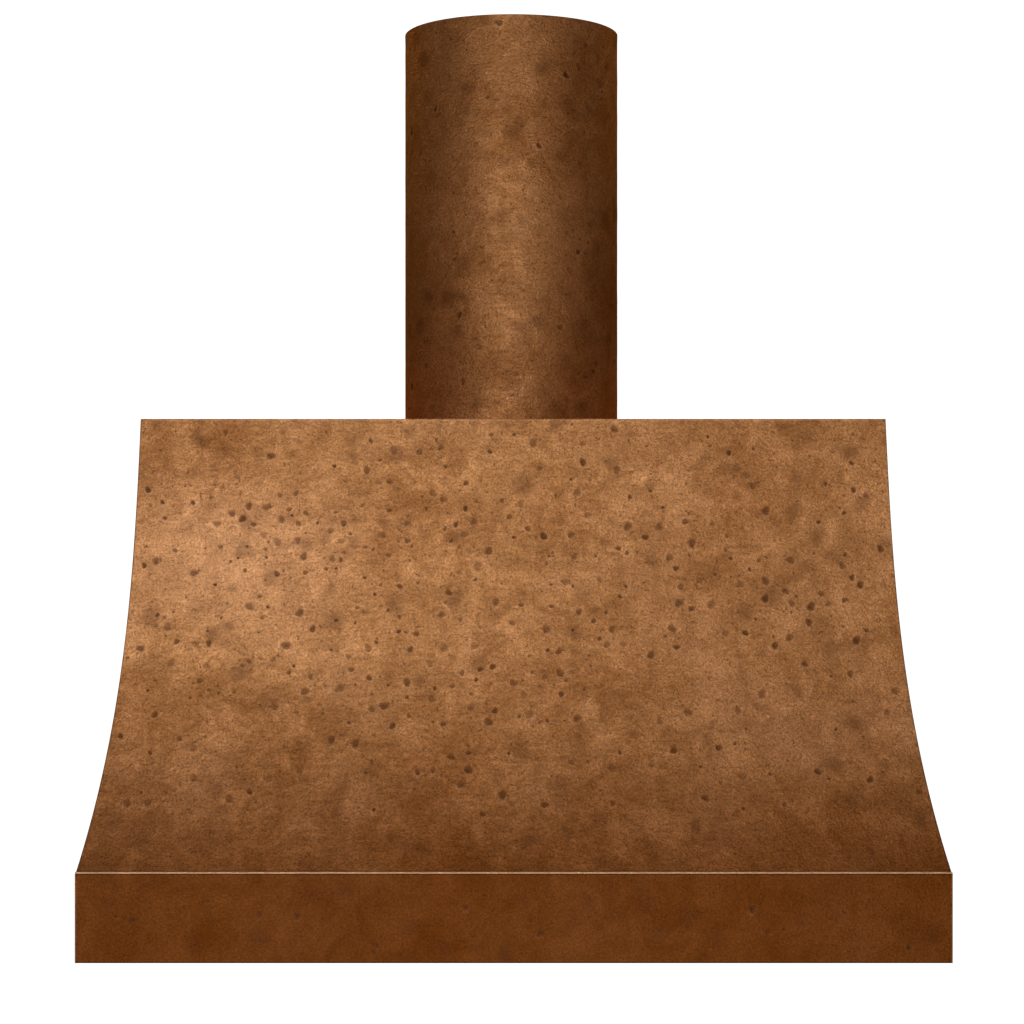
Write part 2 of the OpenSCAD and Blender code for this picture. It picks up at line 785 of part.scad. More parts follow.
module filter_frame_left() { filter_frame(-1); }
module filter_frame_middle() { filter_frame(0); }
module filter_frame_right() { filter_frame(1); }
module filter_baffles_left() { filter_baffles(-1); }
module filter_baffles_middle() { filter_baffles(0); }
module filter_baffles_right() { filter_baffles(1); }
module filter_handle_left() { filter_handle(-1); }
module filter_handle_middle() { filter_handle(0); }
module filter_handle_right() { filter_handle(1); }

// ---- Lamps ----

module lamp_trims() {
  color(STAINLESS) translate([0, 0, z_pan - trim_t]) at_corners(lamp_x, lamp_y) difference() {
    cylinder(r = lamp_trim_r, h = trim_t);
    translate([0, 0, -1]) cylinder(r = lens_r - 3, h = trim_t + 2);
    translate([0, 0, trim_lip]) cylinder(r = lens_r + 0.2, h = trim_t);
  }
}

module lamp_lenses() {
  color("#e8e6dc") translate([0, 0, z_pan - trim_t + trim_lip]) at_corners(lamp_x, lamp_y)
    cylinder(r = lens_r, h = lens_t);
}

module lamp_cans() {
  color(GALVANISED) translate([0, 0, z_pan]) at_corners(lamp_x, lamp_y) difference() {
    cylinder(r = lamp_can_r, h = lamp_can_h);
    translate([0, 0, -1]) cylinder(r = lamp_can_r - 1.5, h = lamp_can_h - 2);
  }
}

module lamp_driver() {
  y = control_y;
  color("#d8d8d4") difference() {
    block([-220 - driver_size[0] / 2, y - driver_size[1] / 2, z_pan_top],
          [-220 + driver_size[0] / 2, y + driver_size[1] / 2, z_pan_top + driver_size[2]]);
    for (s = [-1, 1]) translate([-220 + s * driver_size[0] / 2, y, z_pan_top + driver_size[2] / 2])
      rotate([0, 90, 0]) cylinder(r = 4, h = 10, center = true, $fn = 32);
  }
}

// ---- Controls ----

module control_plate() {
  color(STAINLESS) difference() {
    block([-plate_w / 2, control_y - plate_d / 2, z_pan - control_t],
          [plate_w / 2, control_y + plate_d / 2, z_pan]);
    for (s = [-1, 1]) translate([s * knob_x, control_y, z_pan - control_t - 1])
      cylinder(r = stem_r + run_gap, h = control_t + 2);
  }
}

// A fluted knob whose stem turns in the plate and the switch behind it.
module knob(side) {
  grooves = 16;
  top = z_pan - control_t - knob_gap;
  color(BLACK) translate([side * knob_x, control_y, 0]) difference() {
    union() {
      translate([0, 0, top - knob_h]) cylinder(r1 = knob_r - 2.5, r2 = knob_r, h = knob_h);
      translate([0, 0, top - EPS]) cylinder(r = stem_r, h = stem_l + EPS);
    }
    for (k = [0 : grooves - 1]) rotate([0, 0, k * 360 / grooves])
      translate([knob_r + 1, 0, top - knob_h - 1]) cylinder(r = 2.2, h = knob_h - 4, $fn = 24);
  }
}

module fan_knob() { knob(-1); }
module light_knob() { knob(1); }

module switch_body(side) {
  half = switch_w / 2;
  color(BLACK) translate([side * knob_x, control_y, z_pan]) difference() {
    block([-half, -half, 0], [half, half, switch_h]);
    translate([0, 0, -1]) cylinder(r = stem_r + run_gap, h = switch_h - 5);
  }
}

module fan_switch() { switch_body(-1); }
module light_dimmer() { switch_body(1); }

// ---- Blower ----

// Moves a shape drawn in the plane across the impeller's axis to the blower; z becomes x.
module at_impeller() {
  translate([0, axis_y, axis_z]) rotate([90, 0, 90]) children();
}

function scroll_radius(turned) = scroll_r0 + (scroll_r1 - scroll_r0) * turned / scroll_turn;

// The spiral from the cutoff round to the mouth, which opens upward.
module scroll_outline(t) {
  polygon(concat(
    [for (i = [0 : scroll_steps]) let (turned = i / scroll_steps * scroll_turn, a = scroll_cut - turned)
      (scroll_radius(turned) - t) * [cos(a), sin(a)]],
    [[mouth_front + t, scroll_up + (t > 0 ? 1 : 0)], [mouth_back - t, scroll_up + (t > 0 ? 1 : 0)]]));
}

module scroll_housing() {
  color(GALVANISED) at_impeller() difference() {
    linear_extrude(height = scroll_w, center = true) scroll_outline(0);
    linear_extrude(height = scroll_w - 2 * scroll_t, center = true) scroll_outline(scroll_t);
    cylinder(r = inlet_r, h = scroll_w + 4, center = true);
  }
}

// A double-width wheel: a centre disc on its hub, two rings and the blades between them.
module impeller() {
  color(GALVANISED) at_impeller() difference() {
    union() {
      cylinder(r = hub_r, h = hub_l, center = true);
      cylinder(r = impeller_r - 1, h = disc_t, center = true);
      for (s = [-1, 1]) translate([0, 0, s * (impeller_w - ring_t) / 2]) difference() {
        cylinder(r = impeller_r, h = ring_t, center = true);
        cylinder(r = impeller_r - blade_l, h = ring_t + 2, center = true);
      }
      for (k = [0 : blades - 1]) rotate([0, 0, k * 360 / blades])
        translate([impeller_r - blade_l / 2 - 2, 0, 0]) rotate([0, 0, blade_lean])
          cube([blade_l - 6, blade_t, impeller_w - ring_t], center = true);
    }
    cylinder(r = shaft_r, h = hub_l + 2, center = true);
  }
}

module motor_shaft() {
  color(STEEL) at_impeller() translate([0, 0, shaft_x0])
    cylinder(r = shaft_r, h = motor_back_x - 6 - shaft_x0);
}

module motor_body() {
  fins = 8;
  color(BLACK) at_impeller() difference() {
    union() {
      translate([0, 0, motor_x]) cylinder(r = motor_r, h = motor_l);
      translate([0, 0, motor_x - 12]) cylinder(r = 18, h = 13);
    }
    translate([0, 0, motor_x - 14]) cylinder(r = shaft_r + run_gap, h = motor_l + 8);
    for (k = [0 : fins - 1]) rotate([0, 0, (k + 0.5) * 360 / fins])
      translate([motor_r, 0, motor_x + motor_l / 2]) cube([6, 9, motor_l - 30], center = true);
  }
}

// Three arms from a clamp ring round the motor to the scroll's side.
module motor_bracket() {
  ring_x = motor_x + 12;
  color(STEEL) at_impeller() difference() {
    union() {
      translate([0, 0, ring_x]) cylinder(r = motor_r + 3, h = 14);
      for (a = [30 : 120 : 270]) rotate([0, 0, a]) {
        translate([(motor_r + arm_r) / 2, 0, ring_x + 7])
          cube([arm_r - motor_r, arm_w, arm_t], center = true);
        translate([arm_r, 0, (ring_x + 8 + scroll_w / 2) / 2])
          cube([arm_t, arm_w, ring_x + 8 - scroll_w / 2], center = true);
        translate([arm_r - 1, -arm_w / 2, scroll_w / 2]) cube([12, arm_w, arm_t]);
      }
    }
    translate([0, 0, ring_x - 1]) cylinder(r = motor_r, h = 20);
  }
}

module motor_capacitor() {
  x = -box_w / 2 - cap_r - 3;
  color("#c9cccf") {
    translate([x, 0, jbox_z]) cylinder(r = cap_r, h = cap_h);
    block([x, -cap_r, jbox_z], [-box_w / 2, cap_r, jbox_z + 3]);
  }
}

// ---- Duct ----

// A flanged collar with a bead that the duct stands on and a ledge that the flaps close on.
module outlet_collar() {
  inner_r = collar_r - collar_t;
  seat_z = damper_z - flap_t / 2 - seat_gap;
  color(GALVANISED) translate([0, 0, collar_z]) difference() {
    union() {
      cylinder(r = collar_flange_r, h = liner_t);
      cylinder(r = collar_r, h = collar_h);
      translate([0, 0, bead_z - collar_z]) cylinder(r = bead_r, h = bead_h);
    }
    translate([0, 0, seat_z - stop_t]) mirror([0, 0, 1]) cylinder(r = inner_r, h = collar_h);
    translate([0, 0, -1]) cylinder(r = inner_r - stop_w, h = collar_h + 2);
    translate([0, 0, seat_z]) cylinder(r = inner_r, h = collar_h);
    translate([0, 0, damper_z]) rotate([0, 90, 0])
      cylinder(r = damper_pin_r, h = 3 * collar_r, center = true);
    block([-inner_r, -knuckle_r - 1, damper_z - 8], [inner_r, knuckle_r + 1, damper_z]);
  }
}

module damper_pin() {
  color(BRASS) translate([0, 0, pin_z]) rotate([0, 90, 0])
    cylinder(r = damper_pin_r, h = 2 * (collar_r + 3), center = true);
}

// A half disc on three knuckles; the two flaps' knuckles stand beside each other on the pin.
module damper_flap(side) {
  gap = 1;
  color(GALVANISED) translate([0, 0, pin_z]) difference() {
    union() {
      intersection() {
        translate([0, 0, -flap_t / 2]) cylinder(r = flap_r, h = flap_t);
        block([-flap_r, side > 0 ? knuckle_r + gap : -flap_r - 1, -2],
              [flap_r, side > 0 ? flap_r + 1 : -knuckle_r - gap, 2]);
      }
      for (k = [-1 : 1]) translate([k * 56 + side * 13, 0, 0]) {
        rotate([0, 90, 0]) cylinder(r = knuckle_r, h = knuckle_l, center = true);
        block([-knuckle_l / 2, side > 0 ? 0 : -knuckle_r - gap - 2, -flap_t / 2],
              [knuckle_l / 2, side > 0 ? knuckle_r + gap + 2 : 0, flap_t / 2]);
      }
    }
    rotate([0, 90, 0]) cylinder(r = damper_pin_r + run_gap, h = 3 * flap_r, center = true);
  }
}

module damper_flap_front() { damper_flap(-1); }
module damper_flap_rear() { damper_flap(1); }

// The pipe stands on the collar's bead, and a swage above the collar stiffens it.
module duct_pipe() {
  bottom = bead_z + bead_h;
  color(GALVANISED) difference() {
    union() {
      translate([0, 0, bottom]) tube(duct_out_r, duct_r, -bottom);
      translate([0, 0, swage_z]) tube(duct_out_r + swage_out, duct_r, swage_h);
    }
    translate([0, 0, swage_z + duct_t]) cylinder(r = duct_r + swage_out, h = swage_h - 2 * duct_t);
  }
}

module duct_clamp() {
  r = duct_out_r + clamp_gap;
  color(STAINLESS) translate([0, 0, bead_z + bead_h + 6]) difference() {
    union() {
      cylinder(r = r + clamp_t, h = clamp_w);
      block([-8, -r - 9, 1], [8, -r, clamp_w - 1]);
      translate([-14, -r - 5, clamp_w / 2]) rotate([0, 90, 0]) cylinder(r = 3.5, h = 28, $fn = 32);
    }
    translate([0, 0, -1]) cylinder(r = r, h = clamp_w + 2);
  }
}

// ---- Electrical ----

module junction_box() {
  x0 = box_w / 2;
  y = jbox[1] / 2;
  t = 1.5;
  color(GALVANISED) difference() {
    union() {
      block([x0, -y, jbox_z], [x0 + jbox[0], y, jbox_z + jbox[2]]);
      translate([x0 + jbox[0] / 2, 0, jbox_z + jbox[2]]) cylinder(r = gland_r, h = 14);
    }
    block([x0 + t, -y + t, jbox_z + t], [x0 + jbox[0] + 1, y - t, jbox_z + jbox[2] - t]);
    translate([x0 + jbox[0] / 2, 0, jbox_z + jbox[2] - 10]) cylinder(r = gland_bore_r, h = 30);
  }
}

module junction_cover() {
  x0 = box_w / 2 + jbox[0];
  y = jbox[1] / 2;
  color(GALVANISED) {
    block([x0, -y, jbox_z], [x0 + 1.5, y, jbox_z + jbox[2]]);
    for (s = [-1, 1]) translate([x0 + 1.4, s * (y - 12), jbox_z + jbox[2] / 2]) rotate([0, 90, 0])
      cylinder(r = 3.5, h = 2.2, $fn = 32);
  }
}

flue_tube();
flue_seam_strip();
flue_rivets();
flue_foot_ring();
top_panel();
front_panel();
rear_panel();
left_panel();
right_panel();
apron_front();
apron_rear();
apron_left();
apron_right();
ceiling_plate();
hanger_rods();
hanger_nuts();
top_ring();
base_ring();
cross_channels();
corner_uprights();
foot_bolts();
shell_screws();
liner_pan();
hopper();
blower_box();
magnet_rail();
filter_magnets();
hinge_rail();
filter_frame_left();
filter_frame_middle();
filter_frame_right();
filter_baffles_left();
filter_baffles_middle();
filter_baffles_right();
filter_handle_left();
filter_handle_middle();
filter_handle_right();
lamp_trims();
lamp_lenses();
lamp_cans();
lamp_driver();
control_plate();
fan_knob();
light_knob();
fan_switch();
light_dimmer();
scroll_housing();
impeller();
motor_body();
motor_shaft();
motor_bracket();
motor_capacitor();
outlet_collar();
damper_pin();
damper_flap_front();
damper_flap_rear();
duct_pipe();
duct_clamp();
junction_box();
junction_cover();
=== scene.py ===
"""Island range hood in hammered copper: its finishes, hammered sheets, studio and camera."""
import json
import math

import bpy
import numpy as np
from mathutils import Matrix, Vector
from mathutils.geometry import delaunay_2d_cdt


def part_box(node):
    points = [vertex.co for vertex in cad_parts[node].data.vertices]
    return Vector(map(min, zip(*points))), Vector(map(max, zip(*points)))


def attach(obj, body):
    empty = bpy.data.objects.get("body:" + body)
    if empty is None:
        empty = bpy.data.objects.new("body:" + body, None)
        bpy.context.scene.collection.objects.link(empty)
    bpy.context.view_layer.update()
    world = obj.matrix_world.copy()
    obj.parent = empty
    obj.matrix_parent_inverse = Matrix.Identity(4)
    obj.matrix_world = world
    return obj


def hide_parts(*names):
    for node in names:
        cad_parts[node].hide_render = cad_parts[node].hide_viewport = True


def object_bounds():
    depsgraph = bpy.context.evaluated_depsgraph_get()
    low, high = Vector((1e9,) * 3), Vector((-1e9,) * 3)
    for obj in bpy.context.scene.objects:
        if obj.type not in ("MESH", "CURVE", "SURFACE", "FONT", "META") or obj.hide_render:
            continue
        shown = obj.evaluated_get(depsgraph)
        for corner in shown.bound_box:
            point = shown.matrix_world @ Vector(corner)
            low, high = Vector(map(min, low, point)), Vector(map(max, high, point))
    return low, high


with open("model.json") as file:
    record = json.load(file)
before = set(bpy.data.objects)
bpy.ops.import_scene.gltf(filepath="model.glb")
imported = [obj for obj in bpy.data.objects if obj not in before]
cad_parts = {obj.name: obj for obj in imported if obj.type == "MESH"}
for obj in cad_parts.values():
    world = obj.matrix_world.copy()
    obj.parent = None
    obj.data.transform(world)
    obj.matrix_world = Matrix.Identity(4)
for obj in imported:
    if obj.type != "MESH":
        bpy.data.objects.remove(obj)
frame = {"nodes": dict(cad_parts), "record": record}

bl_info = {
    "name": "Hammered copper range hood",
    "version": (1, 0, 0),
    "blender": (4, 5, 0),
    "location": "View3D > Sidebar > Range Hood",
    "description": "Dresses an island range hood in hammered copper, stainless and galvanised sheet",
    "category": "Object",
}

MM = 0.001
CAD_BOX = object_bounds()
SIDES = {"front": 0, "right": 90, "rear": 180, "left": 270}


# ---- Sizes and colours a maker would change ----


class CopperShellSettings(bpy.types.PropertyGroup):
    """The copper sheets: their flare, their hammering and their pits."""

    sheet: bpy.props.FloatProperty(
        name="Sheet", description="Thickness of the copper sheet", default=1.6 * MM, unit="LENGTH")
    flare_in: bpy.props.FloatProperty(
        name="Flare", description="How far the curved part of the flare leans in",
        default=53 * MM, unit="LENGTH")
    taper_in: bpy.props.FloatProperty(
        name="Taper", description="How far the straight part of the flare leans in",
        default=24.8 * MM, unit="LENGTH")
    flare_pow: bpy.props.FloatProperty(
        name="Flare power", description="How sharply the flare turns out at its foot", default=2.864)
    hem_h: bpy.props.FloatProperty(
        name="Hem", description="Height of the rounded edge on top of the apron",
        default=3.0 * MM, unit="LENGTH")
    step: bpy.props.FloatProperty(
        name="Mesh step", description="Spacing of the mesh between pits", default=7 * MM, unit="LENGTH")
    dent: bpy.props.FloatProperty(
        name="Dents", description="Depth of the broad hammer dents", default=0.3 * MM, unit="LENGTH")
    pit_depth: bpy.props.FloatProperty(
        name="Pit depth", description="Depth of a punched pit", default=0.9 * MM, unit="LENGTH")
    base: bpy.props.StringProperty(
        name="Copper", description="sRGB colour of the browned copper", default="#D0955F")
    # The light end of the patina, and the colour of the painted highlight streaks and patches.
    light: bpy.props.StringProperty(
        name="Lightened copper", description="sRGB colour where the brown is rubbed thin", default="#EFB27E")
    dark: bpy.props.StringProperty(
        name="Dark patina", description="sRGB colour of the darkest patina", default="#A2622F")
    # The colour of the painted highlights on the hem, along each flare's head fold and on the pit rims.
    bright: bpy.props.StringProperty(
        name="Bright edges", description="sRGB colour of edges rubbed bright", default="#FFCFA4")
    # The colour of the painted shade drawn along the folds and mitres.
    seam: bpy.props.StringProperty(
        name="Seams", description="sRGB colour of the patina along folds and mitres", default="#24120A")
    grazing: bpy.props.StringProperty(
        name="Grazing tint", description="sRGB tint of reflections at a grazing angle", default="#DDA070")
    # The foot, the band and the flue are drawn in this brown, partly as patina and partly as painted shade.
    browned: bpy.props.StringProperty(
        name="Browned", description="sRGB colour of the foot, the band and the flue", default="#733905")
    pitted: bpy.props.StringProperty(
        name="Pits", description="sRGB colour of the patina left in the pits", default="#6B3F24")


class StudioSettings(bpy.types.PropertyGroup):
    """The floor, the backdrop, the lights and the camera."""

    floor_drop: bpy.props.FloatProperty(
        name="Floor drop", description="Height of the hood's underside above the floor",
        default=1.7, unit="LENGTH")
    floor_colour: bpy.props.StringProperty(
        name="Floor", description="sRGB colour of the floor", default="#E9E8E6")
    lens: bpy.props.FloatProperty(
        name="Lens", description="Focal length of the camera, in millimetres", default=80.2, unit="CAMERA")
    camera_side: bpy.props.FloatProperty(
        name="Camera offset", description="Sideways from the hood's middle",
        default=-0.0323, unit="LENGTH")
    camera_shift: bpy.props.FloatProperty(
        name="Camera shift", description="Sideways shift of the picture, as a share of its width",
        default=0.021)
    camera_gap: bpy.props.FloatProperty(
        name="Camera distance", description="From the apron's face to the camera",
        default=3.167, unit="LENGTH")
    camera_up: bpy.props.FloatProperty(
        name="Camera height", description="Above the hood's underside", default=0.6265, unit="LENGTH")


# ---- Small helpers ----


def linear(hex_colour):
    """An sRGB hex colour as linear RGBA."""
    parts = [int(hex_colour[i:i + 2], 16) / 255 for i in (1, 3, 5)]
    return (*[c / 12.92 if c <= 0.04045 else ((c + 0.055) / 1.055) ** 2.4 for c in parts], 1.0)


def add_node(tree, kind, settings):
    """Adds a node with its settings and links.

    Each setting is a property, an input by its name or number, or the (position, colour) stops of a colour
    ramp. A socket is linked to its input, and any other value is set on it.
    """
    node = tree.nodes.new(kind)
    for name, value in settings.items():
        if name == "stops":
            elements = node.color_ramp.elements
            elements[0].position, elements[0].color = value[0]
            elements[1].position, elements[1].color = value[-1]
            for position, colour in value[1:-1]:
                elements.new(position).color = colour
        elif isinstance(value, bpy.types.NodeSocket):
            tree.links.new(value, node.inputs[name])
        elif isinstance(name, str) and hasattr(node, name):
            setattr(node, name, value)
        else:
            node.inputs[name].default_value = value
    return node


def new_material(name):
    """An empty material and its node tree."""
    material = bpy.data.materials.new(name)
    material.use_nodes = True
    tree = material.node_tree
    tree.nodes.clear()
    return material, tree


def end_in_shader(tree, settings):
    """Ends a material in a shader with these settings."""
    shader = add_node(tree, "ShaderNodeBsdfPrincipled", settings)
    add_node(tree, "ShaderNodeOutputMaterial", {"Surface": shader.outputs["BSDF"]})


def dress(nodes, material):
    """Gives a finish to CAD nodes."""
    for name in nodes:
        mesh = frame["nodes"][name].data
        mesh.materials.clear()
        mesh.materials.append(material)


# ---- Finishes ----


def hammered_copper(settings):
    """Hammered, browned and waxed copper: satin orange brown with soft stains, dark pits and a fine grain."""
    # Besides the patina, this finish paints shade (a darker foot, band, flue and edges) and highlights (hem,
    # head folds, pit rims, streaks and patches).
    material, tree = new_material("waxed_hammered_copper")
    place = add_node(tree, "ShaderNodeTexCoord", {}).outputs["Object"]
    flat = add_node(tree, "ShaderNodeMapping", {"Vector": place, "Scale": (0.6, 0.6, 1.0)}).outputs["Vector"]
    # Each pattern's coordinates, and the size of its patches, its detail, roughness and twist.
    # The grit of the patina is under 1 mm; it is drawn at 3 mm, so that it shows.
    patterns = {
        "clouds": (place, 190 * MM, 3, 0.5, 0.3),
        "swirls": (place, 45 * MM, 5, 0.6, 0.8),
        "wrinkles": (flat, 11 * MM, 4, 0.65, 2.6),
        "flecks": (place, 7 * MM, 2, 0.6, 0.0),
        "grit": (place, 3.0 * MM, 2, 0.8, 0.0),
    }
    drawn = {name: add_node(tree, "ShaderNodeTexNoise", {
        "Vector": vector, "Scale": 1 / size, "Detail": detail, "Roughness": rough, "Distortion": twist,
    }).outputs["Fac"] for name, (vector, size, detail, rough, twist) in patterns.items()}
    # What each pattern drives: the pattern, the range taken from it and the range it is turned to.
    ranges = {
        "creases": ("wrinkles", 0.42, 0.25, 0.0, 0.3),
        "specks": ("flecks", 0.63, 0.72, 0.0, 0.6),
        "rough_edge": ("grit", 0.3, 0.7, 0.55, 1.15),
        "grit_tone": ("grit", 0.3, 0.7, 0.66, 1.34),
        "swirl_tone": ("swirls", 0.3, 0.7, 0.91, 1.09),
        "gloss": ("swirls", 0.3, 0.7, 0.56, 0.48),
    }
    drives = {name: add_node(tree, "ShaderNodeMapRange", {
        "Value": drawn[pattern], "From Min": low, "From Max": high, "To Min": to_low, "To Max": to_high,
    }).outputs["Result"] for name, (pattern, low, high, to_low, to_high) in ranges.items()}
    marks = {name: add_node(tree, "ShaderNodeAttribute", {"attribute_name": name}).outputs["Fac"]
             for name in ("worn", "shade", "stain", "pit", "seam")}
    light, base, dark = linear(settings.light), linear(settings.base), linear(settings.dark)
    pitted, none, full = linear(settings.pitted), linear("#000000"), linear("#FFFFFF")
    patina = [(0.3, dark), (0.5, base), (0.7, light)]
    # Painted highlights: fine curved streaks of the light colour along the hammer wrinkles, brightest in
    # patches.
    ramps = {name: add_node(tree, "ShaderNodeValToRGB", {
        "Fac": drawn[pattern], "stops": stops,
    }).outputs["Color"] for name, pattern, stops in (
        ("cloud_patina", "clouds", patina),
        ("swirl_patina", "swirls", patina),
        ("painted_glints", "wrinkles", [(0.44, none), (0.5, full), (0.56, none)]),
        ("glint_patches", "swirls", [(0.42, none), (0.62, full)]))}
    # Products of two values, the last ones held between 0 and 1.
    products = {name: add_node(tree, "ShaderNodeMath", {
        "operation": "MULTIPLY", "use_clamp": held, 0: one, 1: other,
    }).outputs[0] for name, one, other, held in (
        ("glint_share", ramps["painted_glints"], ramps["glint_patches"], False),
        ("grain", drives["grit_tone"], drives["swirl_tone"], False),
        # The painted highlight patches, where the shade value is below 0.
        ("highlit", marks["shade"], -1.0, True),
        ("stain", marks["stain"], drives["rough_edge"], True),
        ("pit", marks["pit"], drives["rough_edge"], True),
        ("seam", marks["seam"], drives["rough_edge"], True))}
    painted_glints = add_node(tree, "ShaderNodeMapRange", {"Value": products["glint_share"], "To Max": 0.5})
    grey = add_node(tree, "ShaderNodeCombineColor", {k: products["grain"] for k in range(3)})
    # The coats over the bare copper, from the first to the last: how much of each, its colour and its blend.
    coats = (
        (0.5, ramps["cloud_patina"], "MIX"),
        (0.2, ramps["swirl_patina"], "MIX"),
        (drives["creases"], dark, "MIX"),
        # Painted highlight streaks.
        (painted_glints.outputs["Result"], light, "MIX"),
        # Browner at the foot, on the band and on the flue: partly patina, partly painted shade.
        (marks["shade"], linear(settings.browned), "MIX"),
        # Painted highlight patches.
        (products["highlit"], light, "MIX"),
        (drives["specks"], pitted, "MIX"),
        (products["stain"], pitted, "MIX"),
        (products["pit"], pitted, "MIX"),
        # Painted shade along the folds and mitres.
        (products["seam"], linear(settings.seam), "MIX"),
        (1.0, grey.outputs["Color"], "MULTIPLY"),
        # Painted highlights on the hem, along the head folds and on the pit rims.
        (marks["worn"], linear(settings.bright), "MIX"),
    )
    colour = base
    for share, coat, blend in coats:
        colour = add_node(tree, "ShaderNodeMix", {
            "data_type": "RGBA", "blend_type": blend, 0: share, 6: colour, 7: coat}).outputs[2]
    relief = {}
    for pattern, depth, strength in (
            ("swirls", 1.2 * MM, 0.3), ("wrinkles", 1.6 * MM, 0.7), ("grit", 0.7 * MM, 1.0)):
        layer = add_node(tree, "ShaderNodeBump", {
            "Height": drawn[pattern], "Distance": depth, "Strength": strength, **relief})
        relief = {"Normal": layer.outputs["Normal"]}
    # Wax and patina keep grazing reflections coppery.
    end_in_shader(tree, {"Base Color": colour, "Roughness": drives["gloss"], "Metallic": 1.0,
                         "Specular Tint": linear(settings.grazing), **relief})
    return material


def grained(name, size, detail, grit, colours, rough, relief=None, stops=(0.3, 0.7), twist=0.0,
            stretch=None, metal=0.0, clear=0.0):
    """A finish of one grain, which sets its colour, its roughness and its relief.

    size is the grain's real size, and colours are the sRGB hex colours of its low and high spots. rough is
    one value or those of the low and high spots, relief a depth and a strength, and stretch the scale along
    x, y and z of a grain that runs one way. metal and clear say how metallic and how see-through it is.
    """
    material, tree = new_material(name)
    place = add_node(tree, "ShaderNodeTexCoord", {}).outputs["Object"]
    if stretch:
        place = add_node(tree, "ShaderNodeMapping", {"Vector": place, "Scale": stretch}).outputs["Vector"]
    grain = add_node(tree, "ShaderNodeTexNoise", {
        "Vector": place, "Scale": 1 / size, "Detail": detail, "Roughness": grit, "Distortion": twist,
    }).outputs["Fac"]
    spots = [(stop, linear(colour)) for stop, colour in zip(stops, colours)]
    colour = add_node(tree, "ShaderNodeValToRGB", {"Fac": grain, "stops": spots}).outputs["Color"]
    settings = {"Base Color": colour, "Roughness": rough, "Metallic": metal, "Transmission Weight": clear}
    if isinstance(rough, tuple):
        settings["Roughness"] = add_node(tree, "ShaderNodeMapRange", {
            "Value": grain, "From Min": 0.3, "From Max": 0.7, "To Min": rough[0], "To Max": rough[1],
        }).outputs["Result"]
    if relief:
        settings["Normal"] = add_node(tree, "ShaderNodeBump", {
            "Height": grain, "Distance": relief[0], "Strength": relief[1]}).outputs["Normal"]
    end_in_shader(tree, settings)
    return material


def plain_copper(settings):
    """Unhammered browned copper: even brown with a soft sheen."""
    return grained("browned_copper", 12 * MM, 4, 0.6, (settings.dark, settings.base), (0.5, 0.38),
                   stops=(0.3, 0.65), twist=0.5, metal=1.0)


def brushed_stainless():
    """Brushed stainless sheet: pale grey metal with fine lines along the hood's width."""
    material, tree = new_material("brushed_stainless")
    place = add_node(tree, "ShaderNodeTexCoord", {}).outputs["Object"]
    # Real brush lines are under 0.1 mm apart; these are 0.8 mm, so that they show.
    stretched = add_node(tree, "ShaderNodeMapping", {"Vector": place, "Scale": (0.02, 1.0, 1.0)})
    lines = add_node(tree, "ShaderNodeTexNoise", {
        "Vector": stretched.outputs["Vector"], "Scale": 1 / (0.8 * MM), "Detail": 3, "Roughness": 0.7,
    }).outputs["Fac"]
    smears = add_node(tree, "ShaderNodeTexNoise", {
        "Vector": place, "Scale": 1 / (90 * MM), "Detail": 4, "Roughness": 0.6})
    greys = [(0.3, linear("#A9ABAC")), (0.7, linear("#CFD1D2"))]
    colour = add_node(tree, "ShaderNodeValToRGB", {"Fac": lines, "stops": greys})
    rough = add_node(tree, "ShaderNodeMapRange", {
        "Value": smears.outputs["Fac"], "From Min": 0.3, "From Max": 0.7, "To Min": 0.26, "To Max": 0.38})
    relief = add_node(tree, "ShaderNodeBump", {"Height": lines, "Distance": 0.03 * MM, "Strength": 0.5})
    end_in_shader(tree, {"Base Color": colour.outputs["Color"], "Roughness": rough.outputs["Result"],
                         "Normal": relief.outputs["Normal"], "Metallic": 1.0})
    return material


def galvanised_sheet():
    """Hot-dip galvanised sheet: dull grey metal broken into angular spangles."""
    material, tree = new_material("galvanised_sheet")
    place = add_node(tree, "ShaderNodeTexCoord", {}).outputs["Object"]
    spangles = add_node(tree, "ShaderNodeTexVoronoi", {"Vector": place, "Scale": 1 / (11 * MM)})
    tone = add_node(tree, "ShaderNodeSeparateColor", {"Color": spangles.outputs["Color"]}).outputs[0]
    greys = [(0.0, linear("#83898D")), (0.5, linear("#9DA3A6")), (1.0, linear("#B9BEC1"))]
    colour = add_node(tree, "ShaderNodeValToRGB", {"Fac": tone, "stops": greys})
    rough = add_node(tree, "ShaderNodeMapRange", {"Value": tone, "To Min": 0.34, "To Max": 0.52})
    relief = add_node(tree, "ShaderNodeBump", {"Height": tone, "Distance": 0.05 * MM, "Strength": 0.4})
    end_in_shader(tree, {"Base Color": colour.outputs["Color"], "Roughness": rough.outputs["Result"],
                         "Normal": relief.outputs["Normal"], "Metallic": 1.0})
    return material


def powder_coat():
    """Powder-coated steel: matt dark grey with a fine orange peel."""
    return grained("powder_coated_steel", 1.6 * MM, 2, 0.5, ("#3A3D40", "#474B4E"), 0.55, (0.08 * MM, 0.6))


def zinc_plate():
    """Bright zinc plate on rods and fasteners: bluish grey, slightly streaked."""
    return grained("zinc_plated_steel", 4 * MM, 4, 0.6, ("#9FA3A0", "#C9CCC6"), (0.3, 0.42), twist=1.0,
                   metal=1.0)


def nickel_plate():
    """Nickel-plated magnets: warm bright metal, a little hazed."""
    return grained("nickel_plate", 3 * MM, 3, 0.6, ("#B4AFA6", "#CDC9C1"), (0.18, 0.28), metal=1.0)


